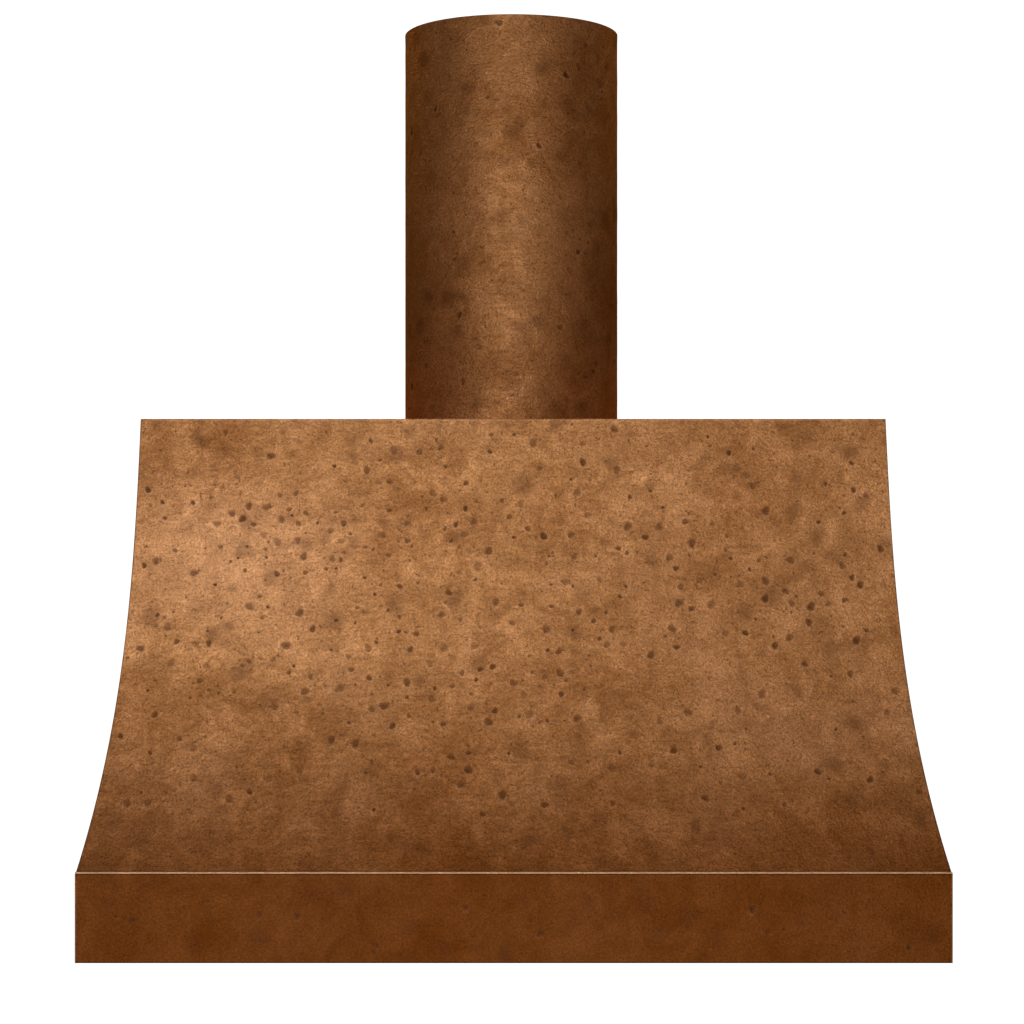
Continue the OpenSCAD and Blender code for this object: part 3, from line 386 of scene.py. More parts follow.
def frosted_glass():
    """Frosted lamp glass: milky, with a soft sparkle."""
    return grained("frosted_glass", 0.9 * MM, 2, 0.6, ("#E4E4DE", "#F6F5F0"), 0.35, (0.05 * MM, 0.5),
                   clear=0.35)


def blasted_aluminium():
    """Drawn and blasted aluminium cans: soft matt silver."""
    return grained("blasted_aluminium", 1.1 * MM, 2, 0.6, ("#B3B5B7", "#D0D2D3"), 0.42, (0.05 * MM, 0.5),
                   metal=1.0)


def moulded(name, low, high, rough):
    """Moulded plastic: an even colour with a spark-eroded grain."""
    return grained(name, 0.8 * MM, 2, 0.6, (low, high), rough, (0.06 * MM, 0.5))


def black_enamel():
    """Baked black enamel on the motor: deep and slightly glossy, with a soft peel."""
    return grained("black_enamel", 3 * MM, 2, 0.5, ("#161617", "#212223"), 0.32, (0.06 * MM, 0.5))


def drawn_brass():
    """Drawn brass rod: warm yellow metal with lines along its length."""
    return grained("drawn_brass", 0.7 * MM, 3, 0.6, ("#A88442", "#CDA860"), (0.24, 0.36),
                   stretch=(0.05, 1.0, 1.0), metal=1.0)


# ---- Hammered sheets ----


# Rows of the plain mesh lie this many steps apart, and its points stray by this many.
ROW_RISE = 0.87
STRAY = 0.14
# A pit's own mesh: how many radii out each ring of points lies, and how many points it has.
RINGS = ((0.0, 1), (0.4, 7), (0.72, 12), (0.92, 14), (1.1, 16), (1.32, 14))
# In radii: how far plain mesh points keep from a pit, and pits from each other's and from a fold.
PIT_CLEARANCE = 1.55
PIT_SPACING = 1.45
PIT_MARGIN = 1.8
# The hammering fades out this near to a fold.
FADE = 16 * MM
# A hammered face lies in by this share of the pits' depth, and the sheet is drawn a little thin, so that it
# clears the pieces behind it.
SETTLED = 0.17
DRAWN_SHEET = 0.94
# Width of the mesh border that keeps the dark lines along the edges fine.
BORDER = 1.6 * MM
# A bend sharper than this, in degrees, shows as an edge.
SHARP = 38
# Stains for each square metre, and how much less bright the painted rim highlights are where the sheet is
# drawn browner, partly as painted shade.
STAINS = 280
DULLED = 0.85
# How many pits each sheet has on a long run and on a short one, and their least and greatest radius.
PITS = {
    "canopy": (430, 210, 2.4 * MM, 7.2 * MM),
    "apron": (16, 9, 3 * MM, 6.5 * MM),
    "flue": (70, 70, 2.8 * MM, 6 * MM),
    "top": (90, 90, 3 * MM, 7 * MM),
}
# First seeds of each sheet's pits, and of its mesh, dents and stains.
PIT_SEEDS = {"canopy": 11, "apron": 71, "flue": 91, "top": 121}
SHEET_SEEDS = {"canopy": 40, "apron": 60, "flue": 90, "top": 122}


class Fold:
    """The path of a sheet's outer face from its first edge to its last, as inset and height, in metres."""

    def __init__(self, points, first, last):
        self.points = np.array(points, float)
        steps = np.linalg.norm(np.diff(self.points, axis=0), axis=1)
        self.along = np.concatenate([[0], np.cumsum(steps)])
        self.first, self.last = first, last
        way = np.diff(self.points, axis=0) / steps[:, None]
        side = np.stack([-way[:, 1], way[:, 0]], axis=1)
        joined = np.vstack([side[:1], side[:-1] + side[1:], side[-1:]])
        length = np.linalg.norm(joined, axis=1)
        # At a bend the offset is lengthened, so that the sheet keeps its thickness.
        stretch = 2 / np.maximum(length ** 2, 1.0)
        stretch[[0, -1]] = 1.0
        self.out = joined * stretch[:, None]
        self.out[[0, -1]] = side[[0, -1]]

    def at(self, t):
        """The path's points at arc lengths t."""
        return np.stack([np.interp(t, self.along, self.points[:, k]) for k in (0, 1)], axis=1)

    def outward(self, t):
        """The directions out of the sheet's face at arc lengths t."""
        return np.stack([np.interp(t, self.along, self.out[:, k]) for k in (0, 1)], axis=1)


def smooth(x, low, high):
    """0 below low, 1 above high and a smooth rise between."""
    share = np.clip((x - low) / (high - low), 0, 1)
    return share * share * (3 - 2 * share)


def dents(points, seed):
    """Broad hammer dents over flat points, from -1 to 1: waves of many lengths and directions."""
    draw = np.random.default_rng(seed)
    total = np.zeros(len(points))
    waves = 28
    for _ in range(waves):
        angle, phase = draw.uniform(0, 2 * math.pi, 2)
        size = draw.uniform(34 * MM, 90 * MM)
        turn = 2 * math.pi / size
        total += np.cos((points @ [math.cos(angle), math.sin(angle)]) * turn + phase)
    return np.clip(total / math.sqrt(waves), -2, 2) / 2


def scatter_pits(seed, count, box, clusters, radii):
    """Seeded punch marks as (across, along, radius, lean, strength), most of them in clusters."""
    draw = np.random.default_rng(seed)
    (s0, t0), (s1, t1) = box
    pits = []
    # Six in ten fall in a cluster, and small ones are the commonest.
    for _ in range(count * 40):
        if len(pits) == count:
            break
        if clusters and draw.random() < 0.6:
            share_s, share_t, wide = clusters[draw.integers(len(clusters))]
            s = s0 + (s1 - s0) * (share_s + draw.normal(0, wide))
            t = t0 + (t1 - t0) * (share_t + draw.normal(0, wide * 1.2))
        else:
            s, t = draw.uniform(s0, s1), draw.uniform(t0, t1)
        radius = radii[0] + (radii[1] - radii[0]) * draw.random() ** 1.5
        strength = draw.uniform(0.25, 1.0)
        inside = s0 < s < s1 and t0 < t < t1
        if inside and all(math.hypot(s - p[0], t - p[1]) > PIT_SPACING * (radius + p[2]) for p in pits):
            pits.append((s, t, radius, draw.uniform(0, 2 * math.pi), strength))
    return pits


def ring_points(pit):
    """Mesh points in rings about a pit, so that its wall stays crisp."""
    s, t, radius, lean = pit[:4]
    found = []
    for share, count in RINGS:
        for k in range(count):
            angle = lean + 2 * math.pi * k / count
            found.append((s + share * radius * math.cos(angle), t + share * radius * math.sin(angle)))
    return found


def pit_relief(points, pits, depth):
    """For each point: how deep it lies in metres, how dark a pit it is and how strong its rim's painted
    highlight is, from 0 to 1.
    """
    deep, mark, highlit = np.zeros((3, len(points)))
    for s, t, radius, lean, strength in pits:
        offset = points - (s, t)
        far = np.hypot(offset[:, 0], offset[:, 1]) / radius
        near = far < 1.6
        angle = np.arctan2(offset[near, 1], offset[near, 0])
        # The outline wavers in two and in three lobes, so that no two pits look alike.
        share = far[near] * (1 + 0.13 * np.sin(2 * angle + lean) + 0.09 * np.sin(3 * angle - 2 * lean))
        bowl = 1 - smooth(share, 0.4, 1.0)
        rim = np.exp(-((share - 1.12) / 0.14) ** 2)
        deep[near] += depth * (0.35 + 0.65 * strength) * min(1.0, radius / (5 * MM)) * (bowl - 0.2 * rim)
        mark[near] = np.maximum(mark[near], (0.3 + 0.7 * strength) * (1 - smooth(share, 0.5, 1.1)))
        # A painted highlight on each rim, strongest on its low side.
        low_side = np.clip(0.35 - np.sin(angle - 0.5 * math.sin(lean)), 0, 1)
        highlit[near] = np.maximum(highlit[near], 0.28 * strength * rim * low_side)
    return deep, mark, highlit


def stain_marks(points, seed, count):
    """How stained flat points are by soft round patches of old patina, from 0 to 1."""
    draw = np.random.default_rng(seed)
    low, high = points.min(axis=0), points.max(axis=0)
    total = np.zeros(len(points))
    for _ in range(count):
        centre, size, strength = draw.uniform(low, high), draw.uniform(5, 20) * MM, draw.uniform(0.15, 0.55)
        lean, squash = draw.uniform(0, math.pi), draw.uniform(0.6, 1.0)
        c, s = math.cos(lean), math.sin(lean)
        offset = (points - centre) @ np.array([[c, -s], [s, c]])
        far = np.hypot(offset[:, 0], offset[:, 1] / squash) / size
        total = np.maximum(total, strength * (1 - smooth(far, 0.35, 1.15)))
    return total


def inner_grid(step, seed, low, high, keep):
    """A jittered triangular grid of points for which keep is true."""
    draw = np.random.default_rng(seed)
    rows = np.arange(low[1] + step * ROW_RISE, high[1], step * ROW_RISE)
    points = []
    for k, row in enumerate(rows):
        across = np.arange(low[0] + (0.5 + 0.5 * (k % 2)) * step, high[0], step)
        jitter = draw.uniform(-STRAY, STRAY, (len(across), 2)) * step
        points.append(np.stack([across, np.full(len(across), row)], axis=1) + jitter)
    points = np.concatenate(points)
    return points[keep(points)]


def clear_of(points, pits):
    """Which points lie outside every pit's rings."""
    free = np.ones(len(points), bool)
    for pit in pits:
        free &= np.hypot(points[:, 0] - pit[0], points[:, 1] - pit[1]) > pit[2] * PIT_CLEARANCE
    return free


def flat_mesh(edge, inner_points, holes=()):
    """Triangles over the inside of a flat edge loop, less any holes: (points, faces)."""
    count = len(edge)
    loops, start = [list(range(count))], count
    points = [tuple(p) for p in edge]
    for hole in holes:
        points += [tuple(p) for p in hole]
        loops.append(list(range(start, start + len(hole))))
        start += len(hole)
    points += [tuple(p) for p in inner_points]
    edges = [(loop[k - 1], loop[k]) for loop in loops for k in range(len(loop))]
    made, _, faces, *_ = delaunay_2d_cdt([Vector(p) for p in points], edges, [loops[0]], 1, 1e-7)
    made = np.array([tuple(v) for v in made])
    kept = []
    for face in faces:
        centre = made[list(face)].mean(axis=0)
        if not any(np.hypot(*(centre - np.mean(h, axis=0))) < np.hypot(*(h[0] - np.mean(h, axis=0))) * 0.999
                   for h in map(np.array, holes)):
            kept.append(tuple(face))
    return made, kept


class Sheet:
    """A copper sheet under way: its flat points, and the faces between them."""

    def __init__(self):
        self.points, self.faces, self.found = [], [], {}

    def index(self, s, t):
        """The index of the flat point at (s, t), added if it is new."""
        key = (round(s * 1e6), round(t * 1e6))
        if key not in self.found:
            self.found[key] = len(self.points)
            self.points.append((s, t))
        return self.found[key]

    def strip(self, rows, columns, half):
        """Quads along a folded edge: rows of arc lengths, columns as shares of the half width."""
        for t0, t1 in zip(rows, rows[1:]):
            for c0, c1 in zip(columns, columns[1:]):
                corners = ((c0, t0), (c1, t0), (c1, t1), (c0, t1))
                self.faces.append(tuple(self.index(c * half(t), t) for c, t in corners))

    def fill(self, points, faces):
        """Faces of a flat mesh."""
        numbers = [self.index(*p) for p in points]
        self.faces += [tuple(numbers[k] for k in face) for face in faces]


def open_edges(faces):
    """The directed edges that only one face uses."""
    used = {}
    for face in faces:
        for a, b in zip(face, face[1:] + face[:1]):
            used[(a, b)] = used.get((a, b), 0) + 1
    return [(a, b) for a, b in used if (b, a) not in used]


def solid_sheet(name, sheet, outer, inner, marks):
    """A closed copper mesh from a sheet's outer and inner points, with a vertex attribute for each mark."""
    count = len(outer)
    faces = list(sheet.faces)
    faces += [tuple(k + count for k in reversed(face)) for face in sheet.faces]
    faces += [(b, a, a + count, b + count) for a, b in open_edges(sheet.faces)]
    mesh = bpy.data.meshes.new(name)
    mesh.from_pydata(np.concatenate([outer, inner]).tolist(), [], faces)
    mesh.polygons.foreach_set("use_smooth", [True] * len(mesh.polygons))
    for mark, values in marks.items():
        attribute = mesh.attributes.new(mark, "FLOAT", "POINT")
        attribute.data.foreach_set("value", np.concatenate([values, np.zeros(count)]).astype(np.float32))
    mesh.materials.append(bpy.data.materials["waxed_hammered_copper"])
    mesh.set_sharp_from_angle(angle=math.radians(SHARP))
    piece = bpy.data.objects.new(name, mesh)
    bpy.context.scene.collection.objects.link(piece)
    return piece


def hammered_sheet(name, fold, half, place, pits, seed, settings, shade, shaded_edges, worn=None):
    """A folded sheet of hammered copper, pitted between its folds.

    half gives its half width at an arc length, and place puts (across, inset, height) points in the frame.
    shade says how browned the sheet is at points across and up, partly as patina and partly as painted shade,
    and below 0 where a painted highlight patch lightens it. The next argument gives the edges drawn dark as
    painted shade, and the last how strong the painted highlight is at flat points.
    """
    step = settings.step
    along = fold.along
    t0, t1 = along[fold.first], along[fold.last]
    widest = max(half(t0), half(t1))
    columns = np.linspace(-1, 1, int(2 * widest / step) + 1)
    rows = np.linspace(t0, t1, max(3, int((t1 - t0) / step)))
    pits = [p for p in pits if abs(p[0]) < half(p[1]) - PIT_MARGIN * p[2]
            and t0 + PIT_MARGIN * p[2] < p[1] < t1 - PIT_MARGIN * p[2]]
    edge = [(c * half(t0), t0) for c in columns]
    edge += [(half(t), t) for t in rows[1:-1]]
    edge += [(c * half(t1), t1) for c in columns[::-1]]
    edge += [(-half(t), t) for t in rows[-2:0:-1]]

    def keep(points):
        """Plain points keep about half a step off the edges, and off the pits."""
        widths = np.array([half(t) for t in points[:, 1]])
        inside = (np.abs(points[:, 0]) < widths - 0.55 * step) & (points[:, 1] < t1 - 0.5 * step)
        return inside & (points[:, 1] > t0 + 0.5 * step) & clear_of(points, pits)

    filling = inner_grid(step, seed, (-widest, t0), (widest, t1), keep)
    rings = [p for pit in pits for p in ring_points(pit)]
    border = [(side * (half(t) - BORDER), t) for t in rows[1:-1] for side in (-1, 1)]
    border += [(c * half(t), t) for t in (t0 + BORDER, t1 - BORDER) for c in columns[1:-1]]
    points, faces = flat_mesh(edge, list(filling) + rings + border)
    sheet = Sheet()
    sheet.strip(along[:fold.first + 1], columns, half)
    sheet.fill(points, faces)
    sheet.strip(along[fold.last:], columns, half)
    flat = np.array(sheet.points)
    widths = np.array([half(t) for t in flat[:, 1]])
    rim = np.minimum.reduce([flat[:, 1] - t0, t1 - flat[:, 1], widths - np.abs(flat[:, 0])])
    face = smooth(rim, 0, FADE)
    deep, mark, highlit = pit_relief(flat, pits, settings.pit_depth)
    stained = stain_marks(flat, seed + 1000, int(STAINS * (t1 - t0) * 2 * widest))
    dark_edge = np.zeros(len(flat))
    # Which points lie on each edge, along which a dark line of painted shade can be drawn.
    edges = {"sides": widths - np.abs(flat[:, 0]) < 0.4 * MM,
             "foot": (flat[:, 1] > t0 - 1.5 * MM) & (flat[:, 1] < t0 + 0.1 * MM),
             "head": np.abs(flat[:, 1] - t1) < 0.1 * MM}
    for each in shaded_edges:
        dark_edge[edges[each]] = 1.0
    sink = face * (settings.dent * (1.0 - dents(flat, seed)) * 0.5 + SETTLED * settings.pit_depth)
    sink = np.maximum(sink + deep, 0)
    path, out = fold.at(flat[:, 1]), fold.outward(flat[:, 1])
    outer = np.column_stack([flat[:, 0], path - out * sink[:, None]])
    inner = np.column_stack([flat[:, 0], path - out * (sink + settings.sheet * DRAWN_SHEET)[:, None]])
    # The browner share, partly patina and partly painted shade, is below 0 in the painted highlight patches;
    # the painted rim highlights are dimmed where it is browner.
    browned = shade(flat[:, 0], path[:, 1])
    highlit = highlit * (1 - DULLED * np.clip(browned, 0, 1))
    marks = {"pit": mark, "shade": browned, "stain": stained, "seam": dark_edge,
             "worn": np.maximum(highlit, worn(flat) if worn else 0)}
    return solid_sheet(name, sheet, place(outer), place(inner), marks)


def run_of(side):
    """A side's half width, how far it stands from the middle, and whether it is one of the long runs."""
    size = CAD_BOX[1] - CAD_BOX[0]
    long_run = side in ("front", "rear")
    half_run, off = (size.x / 2, size.y / 2) if long_run else (size.y / 2, size.x / 2)
    return half_run, off, long_run


def mitred(fold, half_run):
    """The half width at an arc length of a run that is mitred at both ends."""
    return lambda t: half_run - float(np.interp(t, fold.along, fold.points[:, 0]))


def turned(turn, off):
    """Puts a run's (across, inset, height) points on a side of the hood: 0 front, 90 right, and so on."""
    c, s = math.cos(math.radians(turn)), math.sin(math.radians(turn))

    def place(points):
        x, y = points[:, 0], points[:, 1] - off
        return np.column_stack([c * x - s * y, s * x + c * y, points[:, 2]])

    return place


def flare_inset(u, settings):
    """How far the flare stands in from the apron's face, for shares u of its height."""
    curve = settings.flare_in * (1 - (1 - u) ** settings.flare_pow)
    return settings.sheet + curve + settings.taper_in * u


# Where the pits of each flare gather: shares of its width and of its height, and the cluster's size.
FLARE_CLUSTERS = {
    "front": ((0.17, 0.72, 0.06), (0.25, 0.66, 0.07), (0.33, 0.8, 0.08), (0.3, 0.45, 0.09), (0.47, 0.75, 0.1),
              (0.55, 0.5, 0.1), (0.72, 0.68, 0.1), (0.86, 0.5, 0.09), (0.42, 0.28, 0.09), (0.1, 0.4, 0.06)),
    "right": ((0.3, 0.7, 0.12), (0.6, 0.5, 0.14)),
    "rear": ((0.25, 0.65, 0.1), (0.5, 0.5, 0.14), (0.75, 0.72, 0.1)),
    "left": ((0.4, 0.6, 0.12), (0.7, 0.75, 0.12)),
}
# Painted light patches on each flare, if any: where a painted highlight makes it lighter, in metres across,
# share of its height, size and how much.
# A patch of painted shade, drawn browner instead, has an amount below 0.
PAINTED_LIGHT_PATCHES = {
    "front": ((-0.41, 0.69, 0.17, 1.0), (0.3, 0.6, 0.3, -0.25)),
    "right": ((0.05, 0.66, 0.2, 0.4),),
    "rear": ((0.3, 0.6, 0.22, 0.4),),
    "left": ((-0.05, 0.62, 0.2, 0.4),),
}
# How browned the apron, the flue and the top are all over. On the apron and the flue this brown is partly
# patina and partly painted shade.
BROWN_AND_PAINTED_SHADE = {"apron": 0.9, "flue": 0.3, "top": 0.4}


def flare_shade(foot, top, patches):
    """How browned the flare is: most at its foot, partly as patina and partly as painted shade, and less than
    nothing in its painted highlight patches.
    """

    def shade(across, height):
        u = (height - foot) / (top - foot)
        # The brown, partly patina and partly painted shade, clears by six tenths of the height, and a touch
        # of painted shade comes back at the head.
        total = 0.9 * (1 - smooth(u, -0.15, 0.62)) + 0.12 * smooth(u, 0.85, 1.0)
        for centre, share, size, amount in patches:
            up = (u - share) * (top - foot)
            total = total - amount * np.exp(-((across - centre) / size) ** 2 - (up / (0.6 * size)) ** 2)
        return total

    return shade


def even_shade(amount):
    """A sheet browned by the same amount all over; on the apron and the flue this brown is partly painted
    shade.
    """
    return lambda across, height: np.full(len(height), amount)


def painted_head_highlight(end):
    """A painted highlight along the fold at a flare's head."""
    return lambda flat: 0.3 * (np.abs(flat[:, 1] - end) < 0.1 * MM)


class HOOD_OT_canopy(bpy.types.Operator):
    """Hammers the four flared panels of the canopy"""

    bl_idname = "hood.canopy"
    bl_label = "Canopy panels"

    def execute(self, context):
        settings = context.scene.hood_shell
        for k, (side, turn) in enumerate(SIDES.items()):
            low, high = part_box(side + "_panel")
            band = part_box("apron_" + side)[1].z
            half_run, off, long_run = run_of(side)
            shares = np.linspace(0, 1, 49)
            flare = [(flare_inset(u, settings), band + u * (high.z - band)) for u in shares]
            flange = 20 * MM
            fold_points = [(settings.sheet, low.z)] + flare + [
                (flare[-1][0] + 0.5 * flange, high.z), (flare[-1][0] + flange, high.z)]
            fold = Fold(fold_points, 1, len(flare))
            half = mitred(fold, half_run)
            t0, t1 = fold.along[1], fold.along[len(flare)]
            many, few, *radii = PITS["canopy"]
            # The lowest part of the flare has no pits.
            free = 0.12 * (t1 - t0)
            pits = scatter_pits(PIT_SEEDS["canopy"] + k, many if long_run else few,
                                ((-half(t0), t0 + free), (half(t0), t1)), FLARE_CLUSTERS[side], radii)
            # Browner towards the foot, partly as painted shade, with painted light patches and a painted
            # highlight along the head fold.
            piece = hammered_sheet(side + "_panel_hammered", fold, half, turned(turn, off), pits,
                                   SHEET_SEEDS["canopy"] + k, settings,
                                   flare_shade(band, high.z, PAINTED_LIGHT_PATCHES[side]), ("sides", "foot"), painted_head_highlight(t1))
            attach(piece, "hood")
            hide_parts(side + "_panel")
        return {"FINISHED"}


class HOOD_OT_apron(bpy.types.Operator):
    """Folds the four runs of the apron band, with a rounded top edge and a lip below"""

    bl_idname = "hood.apron"
    bl_label = "Apron band"

    def execute(self, context):
        settings = context.scene.hood_shell
        for k, (side, turn) in enumerate(SIDES.items()):
            low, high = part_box("apron_" + side)
            half_run, off, long_run = run_of(side)
            # The lip turned in below, the rounded fold at its corner and the rounded hem on top.
            lip = 25 * MM
            corner = 0.9 * MM
            bend = [(corner * (1 - math.sin(a)), low.z + corner * (1 - math.cos(a)))
                    for a in np.radians([0, 30, 60, 90])]
            hem_r, hem_h = settings.sheet, settings.hem_h
            hem = [(hem_r * (1 - math.cos(a)), high.z - hem_h + hem_h * math.sin(a))
                   for a in np.radians([0, 18, 36, 54, 72, 85])]
            fold_points = [(lip, low.z), (lip / 2, low.z)] + bend + hem
            first, last = 2 + len(bend) - 1, 2 + len(bend)
            fold = Fold(fold_points, first, last)
            half = mitred(fold, half_run)
            t0, t1 = fold.along[first], fold.along[last]
            many, few, *radii = PITS["apron"]
            pits = scatter_pits(PIT_SEEDS["apron"] + k, many if long_run else few,
                                ((-half(t0), t0), (half(t0), t1)), (), radii)

            # A painted highlight on the hem, over its rounded top.
            def worn(flat, t1=t1):
                return smooth(flat[:, 1], t1 + 0.2 * MM, t1 + 1.2 * MM)

            # Browner all over, partly as painted shade, with painted shade drawn dark along its sides, foot
            # and head, and a painted highlight on the hem.
            piece = hammered_sheet("apron_" + side + "_hammered", fold, half, turned(turn, off), pits,
                                   SHEET_SEEDS["apron"] + k, settings, even_shade(BROWN_AND_PAINTED_SHADE["apron"]),
                                   ("sides", "foot", "head"), worn)
            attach(piece, "hood")
            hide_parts("apron_" + side)
        return {"FINISHED"}


class HOOD_OT_flue(bpy.types.Operator):
    """Rolls the hammered flue, its joint at the back"""

    bl_idname = "hood.flue"
    bl_label = "Flue"

    def execute(self, context):
        settings = context.scene.hood_shell
        low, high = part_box("flue_tube")
        radius = (high.x - low.x) / 2
        # Half of the gap that shows at the joint.
        gap = 0.35 * MM
        fold = Fold([(0, low.z), (0, high.z)], 0, 1)
        width = math.pi * radius - gap

        def roll(points):
            angle = points[:, 0] / radius - math.pi / 2
            reach = radius - points[:, 1]
            return np.column_stack([reach * np.cos(angle), reach * np.sin(angle), points[:, 2]])

        rise = high.z - low.z
        count, _, *radii = PITS["flue"]
        pits = scatter_pits(PIT_SEEDS["flue"], count, ((-width, 0), (width, rise)), (), radii)
        # Browner all over, partly as painted shade, with painted shade drawn dark at its foot.
        piece = hammered_sheet("flue_hammered", fold, lambda t: width, roll, pits, SHEET_SEEDS["flue"],
                               settings, even_shade(BROWN_AND_PAINTED_SHADE["flue"]), ("foot",))
        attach(piece, "hood")
        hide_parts("flue_tube")
        return {"FINISHED"}


class HOOD_OT_top(bpy.types.Operator):
    """Cuts and hammers the flat top panel with its flue opening"""

    bl_idname = "hood.top"
    bl_label = "Top panel"

    def execute(self, context):
        settings = context.scene.hood_shell
        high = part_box("top_panel")[1]
        step = settings.step
        # Radii of the opening, of the flue's foot, inside which nothing is hammered, and of the pits' limit.
        opening, foot, pits_from = 142 * MM, 170 * MM, 200 * MM
        x, y = high.x, high.y
        across = np.linspace(-x, x, int(2 * x / step))
        deep = np.linspace(-y, y, int(2 * y / step))
        edge = [(s, -y) for s in across[:-1]] + [(x, t) for t in deep[:-1]]
        edge += [(s, y) for s in across[:0:-1]] + [(-x, t) for t in deep[:0:-1]]
        turns = np.linspace(0, 2 * math.pi, 97)[:-1]
        hole = [(opening * math.cos(a), opening * math.sin(a)) for a in turns]
        count, _, *radii = PITS["top"]
        margin = 20 * MM
        pits = [p for p in scatter_pits(PIT_SEEDS["top"], count, ((-x, -y), (x, y)), (), radii)
                if math.hypot(p[0], p[1]) > pits_from and abs(p[0]) < x - margin and abs(p[1]) < y - margin]

        def keep(points):
            """Plain points keep half a step off the edges, and off the pits."""
            inside = (np.abs(points[:, 0]) < x - 0.5 * step) & (np.abs(points[:, 1]) < y - 0.5 * step)
            return inside & (np.hypot(*points.T) > opening + 0.5 * step) & clear_of(points, pits)

        seed = SHEET_SEEDS["top"]
        filling = inner_grid(step, seed, (-x, -y), (x, y), keep)
        rings = [p for pit in pits for p in ring_points(pit)]
        points, faces = flat_mesh(edge, list(filling) + rings, [hole])
        sheet = Sheet()
        sheet.fill(points, faces)
        flat = np.array(sheet.points)
        rim = np.minimum(x - np.abs(flat[:, 0]), y - np.abs(flat[:, 1]))
        ring = smooth(np.hypot(*flat.T), foot, foot + 20 * MM)
        pitted, mark, highlit = pit_relief(flat, pits, settings.pit_depth)
        sink = smooth(rim, 0, FADE) * ring * (settings.dent * (1 - dents(flat, seed + 1)) * 0.5
                                              + SETTLED * settings.pit_depth)
        sink = np.maximum(sink + pitted, 0)
        outer = np.column_stack([flat, high.z - sink])
        inner = np.column_stack([flat, high.z - sink - settings.sheet * DRAWN_SHEET])
        # Painted highlights on the pit rims.
        marks = {"pit": mark, "shade": 0 * mark + BROWN_AND_PAINTED_SHADE["top"], "seam": 0 * mark, "worn": highlit,
                 "stain": stain_marks(flat, seed + 2, 200)}
        piece = solid_sheet("top_panel_hammered", sheet, outer, inner, marks)
        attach(piece, "hood")
        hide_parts("top_panel")
        return {"FINISHED"}


class HOOD_OT_finishes(bpy.types.Operator):
    """Makes every finish and gives the fixed pieces theirs"""

    bl_idname = "hood.finishes"
    bl_label = "Finishes"

    def execute(self, context):
        shell = context.scene.hood_shell
        makers = {
            "hammered_copper": hammered_copper(shell),
            "plain_copper": plain_copper(shell),
            "painted_steel": powder_coat(),
            "zinc_steel": zinc_plate(),
            "stainless": brushed_stainless(),
            "galvanised_steel": galvanised_sheet(),
            "magnet": nickel_plate(),
            "lamp_glass": frosted_glass(),
            "cast_aluminium": blasted_aluminium(),
            "white_plastic": moulded("white_abs", "#CFCFC9", "#DEDED8", 0.45),
            "black_plastic": moulded("black_phenolic", "#161616", "#222222", 0.4),
            "motor_enamel": black_enamel(),
            "brass": drawn_brass(),
        }
        slots = {}
        for part in frame["record"]["subparts"]:
            slots.setdefault(part["material_slot"], []).append(part["node"])
        for slot, nodes in slots.items():
            dress(nodes, makers[slot])
        return {"FINISHED"}


# ---- Studio ----


# Each panel's name, azimuth, elevation (degrees, 0 in front of the hood), size (m), glow and colour.
STUDIO_LIGHTS = (
    ("front_panel", -5, 6, (2.4, 1.3), 5.1, "#FFFFFF"),
    ("front_left", -62, 8, (2.4, 1.6), 0.65, "#FFDDB8"),
    ("front_right", 56, 10, (2.4, 1.6), 0.75, "#FFDDB8"),
    ("rear_left", -148, 48, (2.8, 1.8), 5.5, "#FFF4E6"),
    ("rear_right", 148, 48, (2.8, 1.8), 5.5, "#FFF4E6"),
    ("overhead", 0, 75, (2.4, 1.6), 1.0, "#FFFFFF"),
    ("floor_bounce", 0, -70, (2.0, 1.6), 0.5, "#FFF8F0"),
)
# How far a panel stands from the middle of the hood, and one below it that has to clear the floor.
PANEL_REACH = 4.6
LOW_PANEL_REACH = 2.2
AIR_COLOUR, AIR_GLOW = "#FFE2CC", 0.06
SURROUND_RADIUS, SURROUND_GLOW = 14, 1.05
FLOOR_RADIUS, FLOOR_GLOW = 5.5, 0.42


def soft_panel(name, aim, azimuth, elevation, size, glow, colour):
    """A soft panel on a sphere round the hood, facing it. Its power follows from its glow and its size."""
    turn, rise = math.radians(azimuth), math.radians(elevation)
    way = Vector((math.sin(turn) * math.cos(rise), -math.cos(turn) * math.cos(rise), math.sin(rise)))
    light = bpy.data.lights.new(name, "AREA")
    light.shape = "RECTANGLE"
    light.size, light.size_y = size
    light.energy = glow * math.pi * size[0] * size[1]
    light.color = linear(colour)[:3]
    lamp = bpy.data.objects.new(name, light)
    reach = PANEL_REACH if elevation > -45 else LOW_PANEL_REACH
    lamp.location = aim + way * reach
    lamp.rotation_mode = "QUATERNION"
    lamp.rotation_quaternion = (-way).to_track_quat("-Z", "Y")
    bpy.context.scene.collection.objects.link(lamp)


def stage_material(name, colour, glow):
    """A plain stage surface, matt and glowing a little."""
    material, tree = new_material(name)
    end_in_shader(tree, {"Base Color": linear(colour), "Roughness": 0.9, "Specular IOR Level": 0.0,
                         "Emission Color": linear(colour), "Emission Strength": glow})
    return material


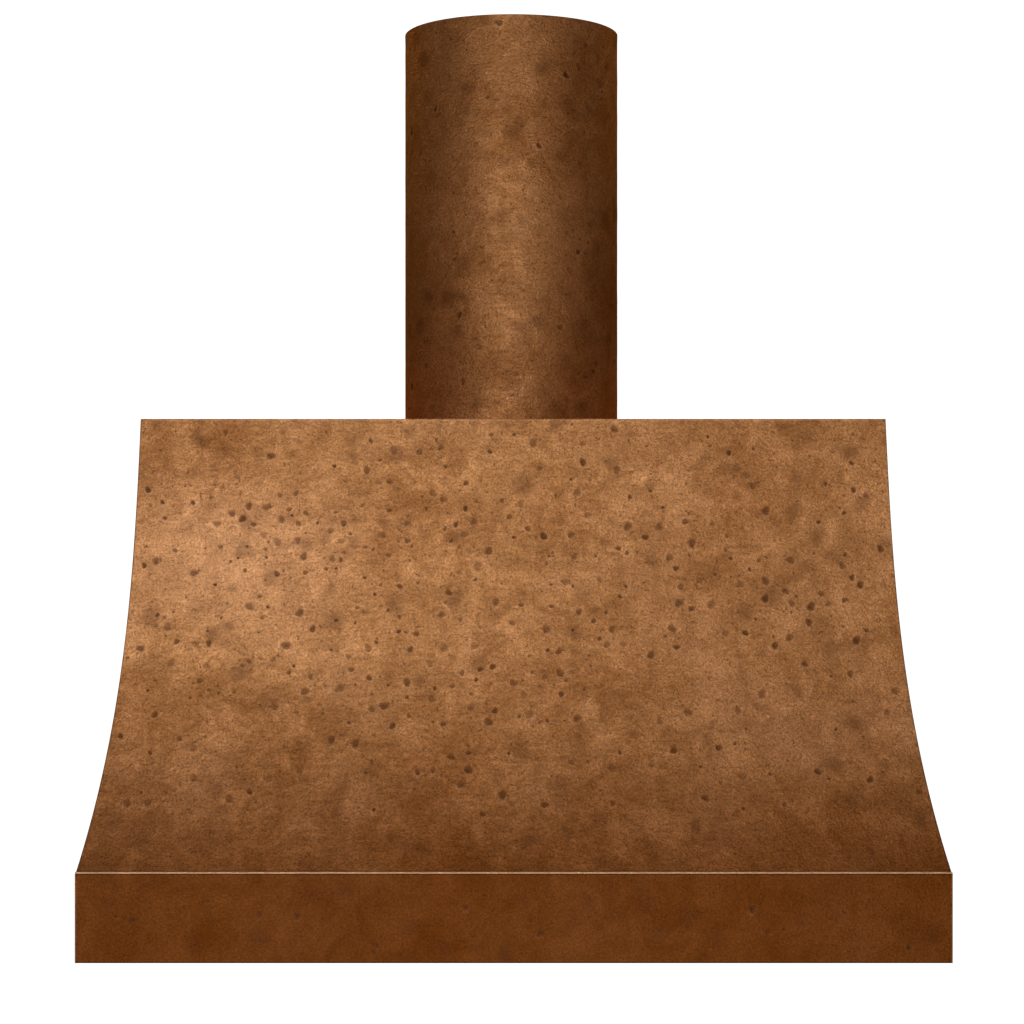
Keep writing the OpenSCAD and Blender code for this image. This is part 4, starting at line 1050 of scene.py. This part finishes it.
class HOOD_OT_stage(bpy.types.Operator):
    """Sets up the camera, the pale floor, the white surround and the soft lights"""

    bl_idname = "hood.stage"
    bl_label = "Studio"

    def execute(self, context):
        settings = context.scene.hood_studio
        scene = context.scene
        low, high = CAD_BOX
        camera = bpy.data.cameras.new("camera")
        camera.lens = settings.lens
        camera.sensor_width = 36
        camera.clip_end = 60
        camera.shift_x = settings.camera_shift
        eye = bpy.data.objects.new("camera", camera)
        eye.location = (settings.camera_side, low.y - settings.camera_gap, low.z + settings.camera_up)
        eye.rotation_euler = (math.radians(90), 0, 0)
        scene.collection.objects.link(eye)
        scene.camera = eye
        scene.view_settings.view_transform = "Standard"
        world = bpy.data.worlds.new("studio_air")
        world.use_nodes = True
        air = world.node_tree.nodes["Background"].inputs
        air["Color"].default_value, air["Strength"].default_value = linear(AIR_COLOUR), AIR_GLOW
        scene.world = world
        middle = Vector((0, 0, (low.z + high.z) / 2))
        bpy.ops.mesh.primitive_uv_sphere_add(segments=64, ring_count=32, radius=SURROUND_RADIUS,
                                             location=middle)
        dome = context.object
        dome.name = "white_surround"
        dome.data.materials.append(stage_material("surround_white", "#FFFFFF", SURROUND_GLOW))
        for ray in ("diffuse", "glossy", "transmission", "volume_scatter", "shadow"):
            setattr(dome, "visible_" + ray, False)
        bpy.ops.mesh.primitive_circle_add(vertices=96, radius=FLOOR_RADIUS, fill_type="NGON",
                                          location=(0, 0, low.z - settings.floor_drop))
        floor = context.object
        floor.name = "pale_floor"
        floor.data.materials.append(stage_material("floor_pale", settings.floor_colour, FLOOR_GLOW))
        for name, azimuth, elevation, size, glow, colour in STUDIO_LIGHTS:
            soft_panel(name, middle, azimuth, elevation, size, glow, colour)
        return {"FINISHED"}


# ---- Panel and registration ----


class HOOD_PT_panel(bpy.types.Panel):
    """The range hood's steps and settings"""

    bl_label = "Range Hood"
    bl_idname = "HOOD_PT_panel"
    bl_space_type = "VIEW_3D"
    bl_region_type = "UI"
    bl_category = "Range Hood"

    def draw(self, context):
        layout = self.layout
        for group in (context.scene.hood_shell, context.scene.hood_studio):
            box = layout.box()
            for name in group.__annotations__:
                box.prop(group, name)
        for step in STEPS:
            layout.operator(step.bl_idname)


STEPS = (HOOD_OT_stage, HOOD_OT_finishes, HOOD_OT_canopy, HOOD_OT_apron, HOOD_OT_flue, HOOD_OT_top)
CLASSES = (CopperShellSettings, StudioSettings, *STEPS, HOOD_PT_panel)


def register():
    """Registers the classes and hangs the settings on the scene."""
    for each in CLASSES:
        bpy.utils.register_class(each)
    bpy.types.Scene.hood_shell = bpy.props.PointerProperty(type=CopperShellSettings)
    bpy.types.Scene.hood_studio = bpy.props.PointerProperty(type=StudioSettings)


def unregister():
    """Takes the settings and the classes away again."""
    del bpy.types.Scene.hood_studio
    del bpy.types.Scene.hood_shell
    for each in reversed(CLASSES):
        bpy.utils.unregister_class(each)


def main():
    """Runs each step in order."""
    register()
    bpy.ops.hood.stage()
    bpy.ops.hood.finishes()
    bpy.ops.hood.canopy()
    bpy.ops.hood.apron()
    bpy.ops.hood.flue()
    bpy.ops.hood.top()


if __name__ == "__main__":
    main()
